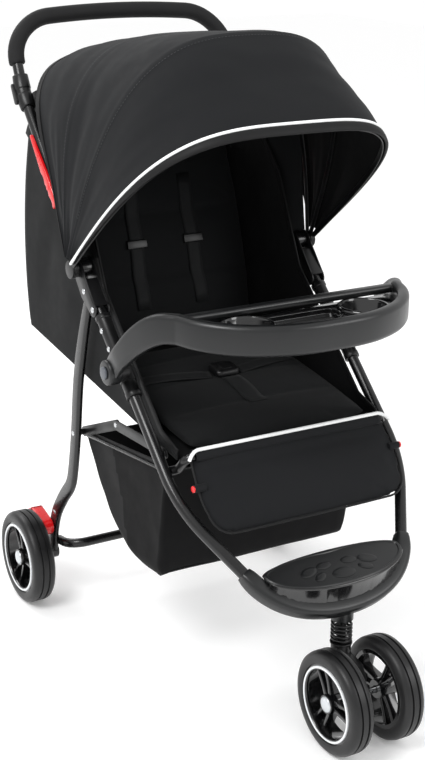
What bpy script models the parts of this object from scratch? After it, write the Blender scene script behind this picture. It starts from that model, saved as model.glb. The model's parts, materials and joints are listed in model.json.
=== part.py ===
# Three-wheel stroller: the frame, wheels, canopy, seat, tray and basket as separate pieces.
# Metres, +Z up, the front of the stroller towards -Y. Sizes are worked out from the line where the
# rear axle meets the floor, and one empty then moves everything so that the origin is under the
# middle of the whole stroller.
import math

import bmesh
import bpy
from mathutils import Matrix, Vector

for item in list(bpy.data.objects):
    bpy.data.objects.remove(item, do_unlink=True)

# Clearances between pieces
TOUCH = 0.0004          # between pieces that lie against each other
RUNNING = 0.0004        # between a pin and the bore that it turns in

# Wheels
WHEEL_SIDES = 28
REAR_TYRE_R = 0.0815
REAR_TYRE_W = 0.040
REAR_WHEEL_X = 0.249
FRONT_TYRE_R = 0.079
FRONT_TYRE_W = 0.036
FRONT_WHEEL_X = 0.0447
TYRE_DEPTH = 0.0185     # from the tread to the tyre's seat on the rim
AXLE_R = 0.005
HUB_R = 0.0150
SPOKE_OFFSET = 0.0062   # from a spoke pair's middle line to each rib
SPOKE_THICK = 0.0045

# Frame tubes
FRAME_X = 0.200         # middle line of the side tubes
TUBE_R = 0.009
HIP_Y = -0.175          # where the front tube's line meets the handle tube's line
HIP_Z = 0.612
FRONT_FALL = math.radians(42.6)
HANDLE_RISE = math.radians(47.5)
FRONT_TUBE_START = 0.038
FRONT_BEND_AT = 0.395
FRONT_TUBE_LENGTH = 0.526
FRONT_TOE_X = 0.136     # where the front tubes enter the footrest moulding
FRONT_BEND_R = 0.240

# Fold hinge
MAIN_PIVOT_UP = 0.030   # main pivot, up the handle tube from the hip
LEG_PIVOT_DROP_Y = -0.023
LEG_PIVOT_DROP_Z = -0.031
HINGE_PIN_R = 0.0040
HANDLE_EYE_R = 0.014
CHEEK_THICK = 0.0028
CHEEK_END = 0.046       # how far the cheeks reach down the front tube

# Push handle
HANDLE_BEND_UP = 0.3606
HANDLE_TOP_Y = 0.120
HANDLE_TOP_Z = 0.9935
HANDLE_CORNER_R = 0.070
HANDLE_BEND_R = 0.050
GRIP_R = 0.0135
GRIP_START = 0.40       # share of the upper leg of the handle that is left bare
KNUCKLE_R = 0.0130
KNUCKLE_REACH = 0.030
LATCH_FROM = 0.145
LATCH_TO = 0.280
LATCH_W = 0.017
LATCH_THICK = 0.005

# Rear legs
LEG_HALF_W = 0.0130
LEG_HALF_T = 0.0055
LEG_TOP_HALF_W = 0.0090
LEG_KNEE = ((-0.149, 0.527), (-0.124, 0.4385), (-0.109, 0.3405), (-0.095, 0.272), (-0.082, 0.2375),
            (-0.052, 0.204), (-0.021, 0.163), (-0.005, 0.122))
CROSSBAR_Y = -0.055
CROSSBAR_Z = 0.110
BRAKE_PIVOT_Y = -0.006
BRAKE_PIVOT_Z = 0.132

# Folding side braces
BRACE_LEG_Y = -0.109
BRACE_LEG_Z = 0.341
BRACE_KNUCKLE_Y = -0.235
BRACE_KNUCKLE_Z = 0.395
BRACE_FRONT_S = 0.305  # down the front tube from the hip
BRACE_THICK = 0.0024
BRACE_HALF_H = 0.0085

# Footrest and caster
BAND_HALF_W = 0.0100
BAND_HALF_H = 0.0130
BAND_REACH = 0.600      # middle of the moulding, down the frame plane from the hip
PLATE_HALF_W = 0.121
PLATE_REAR_Y = -0.554
PLATE_FRONT_Y = -0.628
PLATE_Z = 0.270
PLATE_FALL = 0.270      # drop of the plate's top per metre forward
PLATE_BOW = 0.023       # how far the plate's rear edge bows back at its middle
LIP_THICK = 0.005
WHEEL_BASE = 0.658
CASTER_LEAD = 0.053     # the front axle lies this far ahead of the swivel stem
STEM_R = 0.0070
HOUSING_R = 0.0170
HOUSING_BOTTOM_Z = 0.1785
HOUSING_TOP_Z = 0.2130
SPRING_BOTTOM_Z = 0.1420
SPRING_R = 0.0145
SPRING_WIRE_R = 0.0020
SPRING_TURNS = 5
SUSPENSION_TRAVEL = 0.012
FORK_HALF_W = 0.0110
FORK_R = 0.0150

# Tray
TRAY_HALF_W = 0.1997
TRAY_REAR_Y = -0.436
TRAY_FRONT_Y = -0.571
TRAY_CORNER_D = 0.018     # how far forward the rear corners run before the front bow starts
TRAY_TOP_Z = 0.630
TRAY_BOTTOM_Z = 0.586
CUP_R = 0.0330
CUP_X = 0.101
CUP_Y = -0.487
CUP_DEPTH = 0.060
CUP_WALL = 0.0025
TRAY_ROOT_S = 0.165     # the tray's pivot, down the front tube
TRAY_ROOT_LIFT = 0.016
TRAY_ARM_HALF_T = 0.0110
TRAY_ARM_X = 0.2290
BRACKET_FROM = 0.059
BRACKET_TO = 0.206
BRACKET_R = 0.0125

# Seat
SLING_HALF_W = 0.1795
CLOTH = 0.0030
FLOOR_FRONT_Y = -0.424
FLOOR_FRONT_Z = 0.4022
FLOOR_REAR_Y = 0.1150
FLOOR_REAR_Z = 0.46677
WALL_BACK = ((0.1230, 0.530), (0.1215, 0.610), (0.1060, 0.690), (0.0960, 0.780), (0.0760, 0.872))
WALL_TOP = ((0.040, 0.884), (-0.030, 0.838), (-0.120, 0.745))
WALL_SIDE_LAP = (0.022, 0.045)  # from the hip end of the front tube to the wall's edge above it
CURTAIN_IN = 0.0060     # the hanging cloth lies this far inside the walls' rear edge
SEAT_HALF_W = 0.168
SEAT_FRONT_Y = -0.434
SEAT_REAR_Y = -0.098
SEAT_THICK = 0.026
BACK_PIVOT_Y = -0.085
BACK_PIVOT_LIFT = 0.0130
BACK_LEAN = math.radians(18.0)
BACK_LENGTH = 0.350
BACK_THICK = 0.024
BACK_ROD_R = 0.0060
BAR_S = 0.335           # leg-rest bar, down the front tube
BAR_LIFT = 0.036
BAR_R = 0.0070
REST_HALF_W = 0.184
REST_LENGTH = 0.120
REST_THICK = 0.018
REST_BUTTON_TRAVEL = 0.0025
BUTTON_SHARE = 0.34     # how far down the leg rest its buttons lie
REST_FALL = math.radians(51.2)

# Basket
RIM_X = 0.1799
RIM_R = 0.0030
BASKET_HALF_W = RIM_X - RIM_R - TOUCH
RIM_DROP = 0.0035       # the rim rod's front lies this far below the cloth's edge
BASKET_PROFILE = ((-0.384, 0.374), (-0.352, 0.172), (-0.262, 0.174), (-0.200, 0.204),
                  (-0.158, 0.250), (-0.124, 0.300), (-0.103, 0.3335))

# Canopy
CANOPY_HALF_W = 0.2285
CANOPY_CLOTH = 0.0020
BOW_THICK = 0.0024
BOW_HALF_H = 0.0050
BOW_LAYER = 0.0028      # from one bow's layer to the next, inwards
BOW_CROWN_GAP = 0.0026  # more room under the top, where the cloth slopes away from a bow
# Each line over the canopy: its angle up from the front, its reach and how square its arch is
FRONT_BOW = (math.radians(40.0), 0.392, 3.7)
MIDDLE_BOW = (math.radians(65.5), 0.394, 3.3)
REAR_BOW = (math.radians(95.0), 0.352, 3.3)
CANOPY_BACK = (math.radians(125.0), 0.376, 4.0)

# Places worked out from the sizes above
WHEEL_SHRINK = math.cos(math.pi / WHEEL_SIDES)
REAR_AXLE_Z = REAR_TYRE_R * WHEEL_SHRINK
FRONT_AXLE_Z = FRONT_TYRE_R * WHEEL_SHRINK
STEM_Y = CASTER_LEAD - WHEEL_BASE
ALONG_FRONT = Vector((0, -math.cos(FRONT_FALL), -math.sin(FRONT_FALL)))
OFF_FRONT = Vector((0, -math.sin(FRONT_FALL), math.cos(FRONT_FALL)))
ALONG_HANDLE = Vector((0, math.cos(HANDLE_RISE), math.sin(HANDLE_RISE)))
OFF_HANDLE = Vector((0, -math.sin(HANDLE_RISE), math.cos(HANDLE_RISE)))
HIP = Vector((0, HIP_Y, HIP_Z))
MAIN_PIVOT = HIP + MAIN_PIVOT_UP * ALONG_HANDLE
LEG_PIVOT = MAIN_PIVOT + Vector((0, LEG_PIVOT_DROP_Y, LEG_PIVOT_DROP_Z))
CHEEK_IN = FRAME_X - TUBE_R - TOUCH - CHEEK_THICK
CHEEK_OUT = FRAME_X + TUBE_R + TOUCH + CHEEK_THICK
TRAY_ROOT = HIP + TRAY_ROOT_S * ALONG_FRONT + TRAY_ROOT_LIFT * OFF_FRONT
REST_PIVOT = HIP + BAR_S * ALONG_FRONT + BAR_LIFT * OFF_FRONT
FLOOR_SLOPE = (FLOOR_REAR_Z - FLOOR_FRONT_Z) / (FLOOR_REAR_Y - FLOOR_FRONT_Y)
BACK_REACH_Y = HANDLE_TOP_Y + GRIP_R
FRONT_REACH_Y = -WHEEL_BASE - FRONT_TYRE_R
ORIGIN_Y = -(BACK_REACH_Y + FRONT_REACH_Y) / 2


def floor_z(y):
    """Height of the sling's lower face at y."""
    return FLOOR_FRONT_Z + FLOOR_SLOPE * (y - FLOOR_FRONT_Y)


BACK_PIVOT = Vector((0, BACK_PIVOT_Y, floor_z(BACK_PIVOT_Y) + CLOTH + BACK_PIVOT_LIFT))


def material(name, colour, roughness, metallic=0.0):
    """A plain Principled material for one finish."""
    made = bpy.data.materials.new(name)
    made.use_nodes = True
    shader = made.node_tree.nodes["Principled BSDF"]
    shader.inputs["Base Color"].default_value = (*colour, 1.0)
    shader.inputs["Roughness"].default_value = roughness
    shader.inputs["Metallic"].default_value = metallic
    return made


BLACK_TUBE = material("black_painted_steel", (0.012, 0.012, 0.013), 0.25, 0.4)
DARK_PLASTIC = material("dark_grey_plastic", (0.035, 0.036, 0.038), 0.5)
FABRIC = material("charcoal_polyester", (0.020, 0.021, 0.023), 0.85)
FOAM = material("black_foam", (0.012, 0.012, 0.012), 0.9)
RUBBER = material("tyre_rubber", (0.018, 0.018, 0.019), 0.7)
RED = material("red_plastic", (0.75, 0.018, 0.022), 0.35)
GREY_BUTTON = material("grey_button_plastic", (0.12, 0.13, 0.14), 0.4)
STEEL = material("zinc_plated_steel", (0.55, 0.55, 0.57), 0.3, 1.0)
WEBBING = material("black_webbing", (0.015, 0.015, 0.016), 0.8)

EMPTIES = {}


def joint_empty(name, place, parent=None):
    """An empty on a joint's axis, which carries the pieces that move with it."""
    made = bpy.data.objects.new(name, None)
    bpy.context.scene.collection.objects.link(made)
    base = Vector((0, 0, 0))
    if parent:
        made.parent = EMPTIES[parent][0]
        base = EMPTIES[parent][1]
    made.location = Vector(place) - base
    EMPTIES[name] = (made, Vector(place))
    return made


def add_piece(name, shape, finish, body, smooth=32.0):
    """Turn a bmesh in stroller coordinates into an object under its body's empty."""
    empty, place = EMPTIES[body]
    bmesh.ops.remove_doubles(shape, verts=shape.verts, dist=0.000002)
    bmesh.ops.translate(shape, verts=shape.verts, vec=-place)
    bmesh.ops.recalc_face_normals(shape, faces=shape.faces)
    data = bpy.data.meshes.new(name)
    shape.to_mesh(data)
    shape.free()
    data.shade_smooth()
    data.set_sharp_from_angle(angle=math.radians(smooth))
    data.materials.append(finish)
    made = bpy.data.objects.new(name, data)
    bpy.context.scene.collection.objects.link(made)
    made.parent = empty
    return made


def helper(shape, body):
    """A hidden solid that a Boolean adds to a piece or cuts from it."""
    made = add_piece("tool", shape, DARK_PLASTIC, body)
    made.hide_render = True
    made.display_type = "WIRE"
    return made


def combine(piece, shape, body, operation):
    """Add or cut one shape, both in stroller coordinates."""
    modifier = piece.modifiers.new(operation.lower(), "BOOLEAN")
    modifier.operation = operation
    modifier.solver = "EXACT"
    modifier.object = helper(shape, body)


def round_section(radius, sides):
    return [(radius * math.cos(2 * math.pi * i / sides), radius * math.sin(2 * math.pi * i / sides))
            for i in range(sides)]


def oval_section(half_w, half_t, sides):
    """A flat oval tube: two straight sides and round ends, w along the first axis."""
    points = []
    straight = half_w - half_t
    for i in range(sides):
        turn = 2 * math.pi * (i + 0.5) / sides
        shift = straight if math.cos(turn) > 0 else -straight
        points.append((half_t * math.cos(turn) + shift, half_t * math.sin(turn)))
    return points


def box_section(half_u, half_v, corner):
    points = []
    for su, sv, first in ((1, 1, 0), (-1, 1, 90), (-1, -1, 180), (1, -1, 270)):
        for extra in (0, 45, 90):
            turn = math.radians(first + extra)
            points.append((su * (half_u - corner) + corner * math.cos(turn),
                           sv * (half_v - corner) + corner * math.sin(turn)))
    return points


def filleted(points, radii, steps=5):
    """A route through the points with each inner corner rounded to its radius."""
    route = [Vector(points[0])]
    for index in range(1, len(points) - 1):
        corner = Vector(points[index])
        before = (Vector(points[index - 1]) - corner).normalized()
        after = (Vector(points[index + 1]) - corner).normalized()
        turn = math.pi - before.angle(after)
        reach = radii[index - 1] * math.tan(turn / 2)
        middle = (before + after).normalized()
        centre = corner + middle * (radii[index - 1] / math.cos(turn / 2))
        first = corner + before * reach - centre
        last = corner + after * reach - centre
        axis = first.cross(last).normalized()
        for step in range(steps + 1):
            spin = Matrix.Rotation(turn * step / steps, 3, axis)
            route.append(centre + spin @ first)
    route.append(Vector(points[-1]))
    return route


def smooth_route(points, steps=3):
    """A Catmull-Rom curve through the points."""
    route = []
    last = len(points) - 1
    for index in range(last):
        a = Vector(points[max(index - 1, 0)])
        b = Vector(points[index])
        c = Vector(points[index + 1])
        d = Vector(points[min(index + 2, last)])
        for step in range(steps):
            t = step / steps
            route.append(0.5 * (2 * b + (c - a) * t + (2 * a - 5 * b + 4 * c - d) * t * t
                                + (3 * b - a - 3 * c + d) * t ** 3))
    route.append(Vector(points[-1]))
    return route


def tangents(route):
    found = []
    for index in range(len(route)):
        ahead = route[min(index + 1, len(route) - 1)]
        behind = route[max(index - 1, 0)]
        found.append((ahead - behind).normalized())
    return found


def rings_along(route, sections, side=None):
    """Place one section on each point of the route, without twist."""
    lines = tangents(route)
    across = Vector(side) if side else lines[0].orthogonal()
    rings = []
    for index, point in enumerate(route):
        if index and not side:
            across = lines[index - 1].rotation_difference(lines[index]) @ across
        upward = lines[index].cross(across).normalized()
        level = upward.cross(lines[index]).normalized()
        rings.append([point + u * upward + v * level for u, v in sections[index]])
    return rings


def skin(rings, caps=True):
    """A closed solid through rings of equal count."""
    shape = bmesh.new()
    rows = [[shape.verts.new(point) for point in ring] for ring in rings]
    count = len(rows[0])
    for lower, upper in zip(rows[:-1], rows[1:]):
        for i in range(count):
            j = (i + 1) % count
            shape.faces.new((lower[i], lower[j], upper[j], upper[i]))
    if caps:
        shape.faces.new(rows[0])
        shape.faces.new(list(reversed(rows[-1])))
    return shape


def tube(route, radius, sides=10, side=None):
    return skin(rings_along(route, [round_section(radius, sides)] * len(route), side))


def sleeve(route, outer, inner, sides=10):
    """A tube wall along a route, open at both ends."""
    outside = rings_along(route, [round_section(outer, sides)] * len(route))
    clear = inner / math.cos(math.pi / sides)
    inside = rings_along(route, [round_section(clear, sides)] * len(route))
    rings = outside + list(reversed(inside))
    return skin(rings + [outside[0]], caps=False)


def bar(x_from, x_to, y, z, radius, sides=14):
    """A round bar along X."""
    route = [Vector((x_from, y, z)), Vector((x_to, y, z))]
    return tube(route, radius, sides, (0, 0, 1))


def upright(x, y, z_from, z_to, radius, sides=20):
    return tube([Vector((x, y, z_from)), Vector((x, y, z_to))], radius, sides, (1, 0, 0))


def turned(profile, x, y, z, sides=WHEEL_SIDES):
    """Turn a closed profile of (x, radius) points about an axle along X, a flat side down."""
    shape = bmesh.new()
    rings = []
    for step in range(sides):
        turn = 2 * math.pi * (step + 0.5) / sides
        rings.append([shape.verts.new((x + along, y + radius * math.sin(turn),
                                       z - radius * math.cos(turn))) for along, radius in profile])
    count = len(profile)
    for step in range(sides):
        here = rings[step]
        there = rings[(step + 1) % sides]
        for i in range(count):
            j = (i + 1) % count
            shape.faces.new((here[i], here[j], there[j], there[i]))
    return shape


def plate(outline, x_from, x_to):
    """A plate of constant thickness in X from an outline of (y, z) points."""
    rings = [[Vector((x, y, z)) for y, z in outline] for x in (x_from, x_to)]
    return skin(rings)


def hull_of_circles(circles, samples=16):
    """The outline that a belt round the circles takes, as (y, z) points."""
    points = []
    for y, z, radius in circles:
        for step in range(samples):
            turn = 2 * math.pi * step / samples
            points.append((y + radius * math.cos(turn), z + radius * math.sin(turn)))
    points = sorted(set((round(y, 7), round(z, 7)) for y, z in points))

    def half(ordered):
        kept = []
        for point in ordered:
            while len(kept) > 1:
                ay, az = kept[-1][0] - kept[-2][0], kept[-1][1] - kept[-2][1]
                by, bz = point[0] - kept[-2][0], point[1] - kept[-2][1]
                if ay * bz - az * by > 1e-12:
                    break
                kept.pop()
            kept.append(point)
        return kept[:-1]

    return half(points) + half(list(reversed(points)))


def shell(outer, inner):
    """A closed sheet between two grids of equal size."""
    shape = bmesh.new()
    top = [[shape.verts.new(point) for point in row] for row in outer]
    low = [[shape.verts.new(point) for point in row] for row in inner]
    rows, columns = len(top), len(top[0])
    for r in range(rows - 1):
        for c in range(columns - 1):
            shape.faces.new((top[r][c], top[r][c + 1], top[r + 1][c + 1], top[r + 1][c]))
            shape.faces.new((low[r][c], low[r + 1][c], low[r + 1][c + 1], low[r][c + 1]))
    for c in range(columns - 1):
        shape.faces.new((top[0][c], low[0][c], low[0][c + 1], top[0][c + 1]))
        shape.faces.new((top[-1][c], top[-1][c + 1], low[-1][c + 1], low[-1][c]))
    for r in range(rows - 1):
        shape.faces.new((top[r][0], top[r + 1][0], low[r + 1][0], low[r][0]))
        shape.faces.new((top[r][-1], low[r][-1], low[r + 1][-1], top[r + 1][-1]))
    return shape


def pad_height(u, v, thick, crown, channels, depth):
    """Half the pad's height at (u, v), each from -1 to 1, with its crown and sewn channels."""
    edge = 0.16 + 0.84 * max(0.0, (1 - u ** 4) * (1 - v ** 4)) ** 0.30
    height = thick / 2 + crown * (1 - u * u) * (1 - v * v)
    for line in channels:
        height -= depth * math.exp(-((v - line) / 0.045) ** 2) * (1 - u ** 6)
    return height * edge


def cushion(half_w, half_l, thick, crown, place, channels=(), depth=0.003, pull=0.03, steps=(8, 12)):
    """A sewn pad: crowned in front, flatter behind, its sides drawn in between the corners."""
    columns = [math.sin(math.pi / 2 * (2 * i / steps[0] - 1)) for i in range(steps[0] + 1)]
    rows = [math.sin(math.pi / 2 * (2 * j / steps[1] - 1)) for j in range(steps[1] + 1)]
    faces = []
    for sign, rise, cut in ((1, crown, depth), (-1, 0.0, 0.0)):
        grid = []
        for v in rows:
            line = []
            for u in columns:
                x = half_w * u * math.sqrt(1 - 0.10 * v * v) * (1 - pull * (1 - v * v))
                y = half_l * v * math.sqrt(1 - 0.10 * u * u) * (1 - pull * (1 - u * u))
                height = pad_height(u, v, thick, rise, channels, cut)
                line.append(place @ Vector((x, y, sign * height)))
            grid.append(line)
        faces.append(grid)
    return shell(*faces)


def strap(route, half_w, half_t, side):
    """Flat webbing along a route; side points across its face."""
    section = [(half_t, half_w), (-half_t, half_w), (-half_t, -half_w), (half_t, -half_w)]
    return skin(rings_along(route, [section] * len(route), side))


def mirrored(side, point):
    return Vector((side * point[0], point[1], point[2]))


SIDES = (("left", -1), ("right", 1))


def make_empties():
    joint_empty("stroller", (0, 0, 0))
    EMPTIES["stroller"][0].location = (0, ORIGIN_Y, 0)
    joint_empty("handle_pivot", MAIN_PIVOT, "stroller")
    joint_empty("leg_pivot", LEG_PIVOT, "stroller")
    joint_empty("rear_brace_pivot", (0, BRACE_LEG_Y, BRACE_LEG_Z), "leg_pivot")
    joint_empty("front_brace_pivot", HIP + BRACE_FRONT_S * ALONG_FRONT, "stroller")
    joint_empty("suspension", (0, STEM_Y, HOUSING_BOTTOM_Z), "stroller")
    joint_empty("caster", (0, STEM_Y, FRONT_AXLE_Z), "suspension")
    joint_empty("front_canopy_pivot", MAIN_PIVOT, "stroller")
    joint_empty("middle_canopy_pivot", MAIN_PIVOT, "stroller")
    joint_empty("back_pivot", BACK_PIVOT, "stroller")
    joint_empty("rest_pivot", REST_PIVOT, "stroller")
    joint_empty("tray_pivot", TRAY_ROOT, "stroller")
    for word, side in SIDES:
        joint_empty("rear_wheel_" + word, (side * REAR_WHEEL_X, 0, REAR_AXLE_Z), "leg_pivot")
        joint_empty("brake_" + word, (side * FRAME_X, BRAKE_PIVOT_Y, BRAKE_PIVOT_Z), "leg_pivot")
        joint_empty("front_wheel_" + word, (side * FRONT_WHEEL_X, -WHEEL_BASE, FRONT_AXLE_Z), "caster")
        joint_empty("latch_" + word, MAIN_PIVOT, "handle_pivot")
        joint_empty("tray_release_" + word, TRAY_ROOT, "tray_pivot")
        joint_empty("rest_button_" + word, REST_PIVOT, "rest_pivot")


def front_point(x, s, lift=0.0):
    """A point on the front tubes' plane: x across, s down the slope from the hip, lift off it."""
    return Vector((x, 0, 0)) + HIP + s * ALONG_FRONT + lift * OFF_FRONT


def handle_point(x, t, lift=0.0):
    return Vector((x, 0, 0)) + HIP + t * ALONG_HANDLE + lift * OFF_HANDLE


def make_front_tubes():
    for word, side in SIDES:
        corners = [front_point(side * FRAME_X, FRONT_TUBE_START), front_point(side * FRAME_X, FRONT_BEND_AT),
                   front_point(side * FRONT_TOE_X, FRONT_TUBE_LENGTH)]
        route = filleted(corners, [FRONT_BEND_R], 6)
        add_piece("front_tube_" + word, tube(route, TUBE_R, 12, OFF_FRONT), BLACK_TUBE, "stroller")


def make_hinge_housings():
    """Two cheeks on each side hold the front tube, the handle's eye and the leg's eye."""
    tail = front_point(0, CHEEK_END)
    outline = hull_of_circles(((MAIN_PIVOT.y, MAIN_PIVOT.z, HANDLE_EYE_R + 0.003),
                               (LEG_PIVOT.y, LEG_PIVOT.z, LEG_TOP_HALF_W + 0.006),
                               (tail.y, tail.z, TUBE_R + CHEEK_THICK)))
    for word, side in SIDES:
        housing = add_piece("hinge_housing_" + word,
                            plate(outline, side * CHEEK_IN, side * (CHEEK_IN + CHEEK_THICK)),
                            DARK_PLASTIC, "stroller")
        combine(housing, plate(outline, side * (CHEEK_OUT - CHEEK_THICK), side * CHEEK_OUT),
                "stroller", "UNION")
        low = front_point(0, -0.004, TUBE_R + TOUCH)
        far = front_point(0, CHEEK_END, TUBE_R + TOUCH)
        rise = CHEEK_THICK * OFF_FRONT
        web = [(low.y, low.z), (far.y, far.z), (far.y + rise.y, far.z + rise.z),
               (low.y + rise.y, low.z + rise.z)]
        combine(housing, plate(web, side * CHEEK_IN, side * CHEEK_OUT), "stroller", "UNION")
        for pivot in (MAIN_PIVOT, LEG_PIVOT):
            pin = bar(side * (CHEEK_IN + 0.001), side * (CHEEK_OUT - 0.001), pivot.y, pivot.z, HINGE_PIN_R, 12)
            combine(housing, pin, "stroller", "UNION")


def handle_route():
    bend = HIP + HANDLE_BEND_UP * ALONG_HANDLE
    corners = []
    for side in (1, -1):
        points = [Vector((side * FRAME_X, MAIN_PIVOT.y, MAIN_PIVOT.z)), Vector((side * FRAME_X, bend.y, bend.z)),
                  Vector((side * FRAME_X, HANDLE_TOP_Y, HANDLE_TOP_Z))]
        corners += points if side > 0 else list(reversed(points))
    return filleted(corners, [HANDLE_BEND_R, HANDLE_CORNER_R, HANDLE_CORNER_R, HANDLE_BEND_R], 5)


def make_push_handle():
    handle = add_piece("handle_tube", tube(handle_route(), TUBE_R, 12), BLACK_TUBE, "handle_pivot")
    bend = HIP + HANDLE_BEND_UP * ALONG_HANDLE
    top = Vector((0, HANDLE_TOP_Y, HANDLE_TOP_Z))
    for word, side in SIDES:
        eye_half = TUBE_R - 0.0002
        eye = bar(side * FRAME_X - eye_half, side * FRAME_X + eye_half, MAIN_PIVOT.y, MAIN_PIVOT.z, HANDLE_EYE_R)
        combine(handle, eye, "handle_pivot", "UNION")
    for word, side in SIDES:
        bore = bar(side * FRAME_X - 0.02, side * FRAME_X + 0.02, MAIN_PIVOT.y, MAIN_PIVOT.z,
                   HINGE_PIN_R + RUNNING, 12)
        combine(handle, bore, "handle_pivot", "DIFFERENCE")
    start = bend.lerp(top, GRIP_START)
    ends = [Vector((side * FRAME_X, start.y, start.z)) for side in (1, -1)]
    tops = [Vector((side * FRAME_X, top.y, top.z)) for side in (1, -1)]
    grip = filleted([ends[0], tops[0], tops[1], ends[1]], [HANDLE_CORNER_R] * 2, 5)
    add_piece("handle_grip", sleeve(grip, GRIP_R, TUBE_R + TOUCH), FOAM, "handle_pivot")
    for word, side in SIDES:
        across = Vector((side * FRAME_X, 0, 0))
        low = across + bend - KNUCKLE_REACH * ALONG_HANDLE
        high = across + bend + KNUCKLE_REACH * (top - bend).normalized()
        route = filleted([low, across + bend, high], [HANDLE_BEND_R], 5)
        add_piece("handle_knuckle_" + word, sleeve(route, KNUCKLE_R, TUBE_R + TOUCH), DARK_PLASTIC,
                  "handle_pivot")


def make_fold_latches():
    """A red slide along the outside of each handle tube, with finger scallops at its lower end."""
    half = LATCH_W / 2
    edge = []
    for step in range(13):
        t = LATCH_FROM + (LATCH_TO - LATCH_FROM) * step / 12
        bite = 0.0032 * abs(math.sin(math.pi * step / 2)) if step < 6 else 0.0
        edge.append((t, -half + bite))
    outline = edge + [(LATCH_TO, half * 0.6), (LATCH_TO - 0.012, half), (LATCH_FROM + 0.006, half),
                      (LATCH_FROM, half * 0.5)]
    for word, side in SIDES:
        inner = side * (FRAME_X + TUBE_R + TOUCH)
        rings = []
        for x in (inner, inner + side * LATCH_THICK):
            rings.append([handle_point(x, t, lift) for t, lift in outline])
        add_piece("fold_latch_" + word, skin(rings), RED, "latch_" + word)


def make_rear_legs():
    for word, side in SIDES:
        x = side * FRAME_X
        points = [(x, LEG_PIVOT.y, LEG_PIVOT.z)] + [(x, y, z) for y, z in LEG_KNEE] + [(x, 0, REAR_AXLE_Z)]
        route = smooth_route(points, 2)
        sections = []
        for index in range(len(route)):
            half_w = LEG_TOP_HALF_W if index < 2 else LEG_HALF_W
            sections.append(oval_section(half_w, LEG_HALF_T, 10))
        leg = add_piece("rear_leg_" + word, skin(rings_along(route, sections, (1, 0, 0))), DARK_PLASTIC,
                        "leg_pivot")
        half = LEG_HALF_T + 0.0002
        combine(leg, bar(x - half, x + half, LEG_PIVOT.y, LEG_PIVOT.z, LEG_TOP_HALF_W + 0.0008),
                "leg_pivot", "UNION")
        combine(leg, bar(x - half, x + half, 0, REAR_AXLE_Z, LEG_HALF_W + 0.0008), "leg_pivot", "UNION")
        outer = x + side * 0.001
        reach = side * (REAR_WHEEL_X + REAR_TYRE_W / 2 - 0.006)
        combine(leg, bar(outer, reach, 0, REAR_AXLE_Z, AXLE_R, 12), "leg_pivot", "UNION")
        pedal_pin = side * (REAR_WHEEL_X - REAR_TYRE_W / 2 - 0.006)
        combine(leg, bar(outer, pedal_pin, BRAKE_PIVOT_Y, BRAKE_PIVOT_Z, HINGE_PIN_R, 12), "leg_pivot", "UNION")
        bore = bar(x - 0.02, x + 0.02, LEG_PIVOT.y, LEG_PIVOT.z, HINGE_PIN_R + RUNNING, 12)
        combine(leg, bore, "leg_pivot", "DIFFERENCE")
    inner = FRAME_X - LEG_HALF_T - 0.0002 - TOUCH
    crossbar = add_piece("rear_crossbar", bar(-inner + 0.002, inner - 0.002, CROSSBAR_Y, CROSSBAR_Z, TUBE_R, 12),
                         BLACK_TUBE, "leg_pivot")
    lug = hull_of_circles(((CROSSBAR_Y, CROSSBAR_Z, 0.0125), (-0.004, 0.100, 0.0115)), 16)
    for word, side in SIDES:
        combine(crossbar, plate(lug, side * (inner - 0.004), side * inner), "leg_pivot", "UNION")


def make_brake_pedals():
    """A red lever over the inner side of each rear wheel, pressed down by the foot."""
    outline = hull_of_circles(((BRAKE_PIVOT_Y, BRAKE_PIVOT_Z, 0.015), (0.030, 0.146, 0.010)), 16)
    toe = hull_of_circles(((0.030, 0.146, 0.010), (0.064, 0.130, 0.007)), 16)
    for word, side in SIDES:
        near = side * (FRAME_X + LEG_HALF_T + 0.0002 + TOUCH)
        far = side * (REAR_WHEEL_X - REAR_TYRE_W / 2 - 0.0015)
        body = "brake_" + word
        pedal = add_piece("brake_pedal_" + word, plate(outline, near, far), RED, body)
        combine(pedal, plate(toe, near, far), body, "UNION")
        bore = bar(near - side * 0.01, far + side * 0.01, BRAKE_PIVOT_Y, BRAKE_PIVOT_Z,
                   HINGE_PIN_R + RUNNING, 12)
        combine(pedal, bore, body, "DIFFERENCE")


def make_braces():
    """Two flat links a side, which fold up at the knuckle when the rear legs swing forward."""
    front = HIP + BRACE_FRONT_S * ALONG_FRONT
    leg = (BRACE_LEG_Y, BRACE_LEG_Z, BRACE_HALF_H)
    knuckle = (BRACE_KNUCKLE_Y, BRACE_KNUCKLE_Z, BRACE_HALF_H)
    rear_outline = hull_of_circles((leg, knuckle), 16)
    front_outline = hull_of_circles((knuckle, (front.y, front.z, BRACE_HALF_H)), 16)
    outer = FRAME_X - TUBE_R - TOUCH - 0.0020
    middle = outer - BRACE_THICK
    for word, side in SIDES:
        front_link = add_piece("front_brace_" + word, plate(front_outline, side * middle, side * outer),
                               DARK_PLASTIC, "front_brace_pivot")
        tip = side * (FRAME_X - TUBE_R - TOUCH)
        combine(front_link, bar(side * (outer - 0.001), tip, front.y, front.z, 0.005, 12),
                "front_brace_pivot", "UNION")
        inner = middle - TOUCH
        rear_link = add_piece("rear_brace_" + word,
                              plate(rear_outline, side * (inner - BRACE_THICK), side * inner),
                              DARK_PLASTIC, "rear_brace_pivot")
        tip = side * (FRAME_X - LEG_HALF_T - 0.0002 - TOUCH)
        combine(rear_link, bar(side * (inner - 0.001), tip, BRACE_LEG_Y, BRACE_LEG_Z, 0.005, 12),
                "rear_brace_pivot", "UNION")


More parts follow.
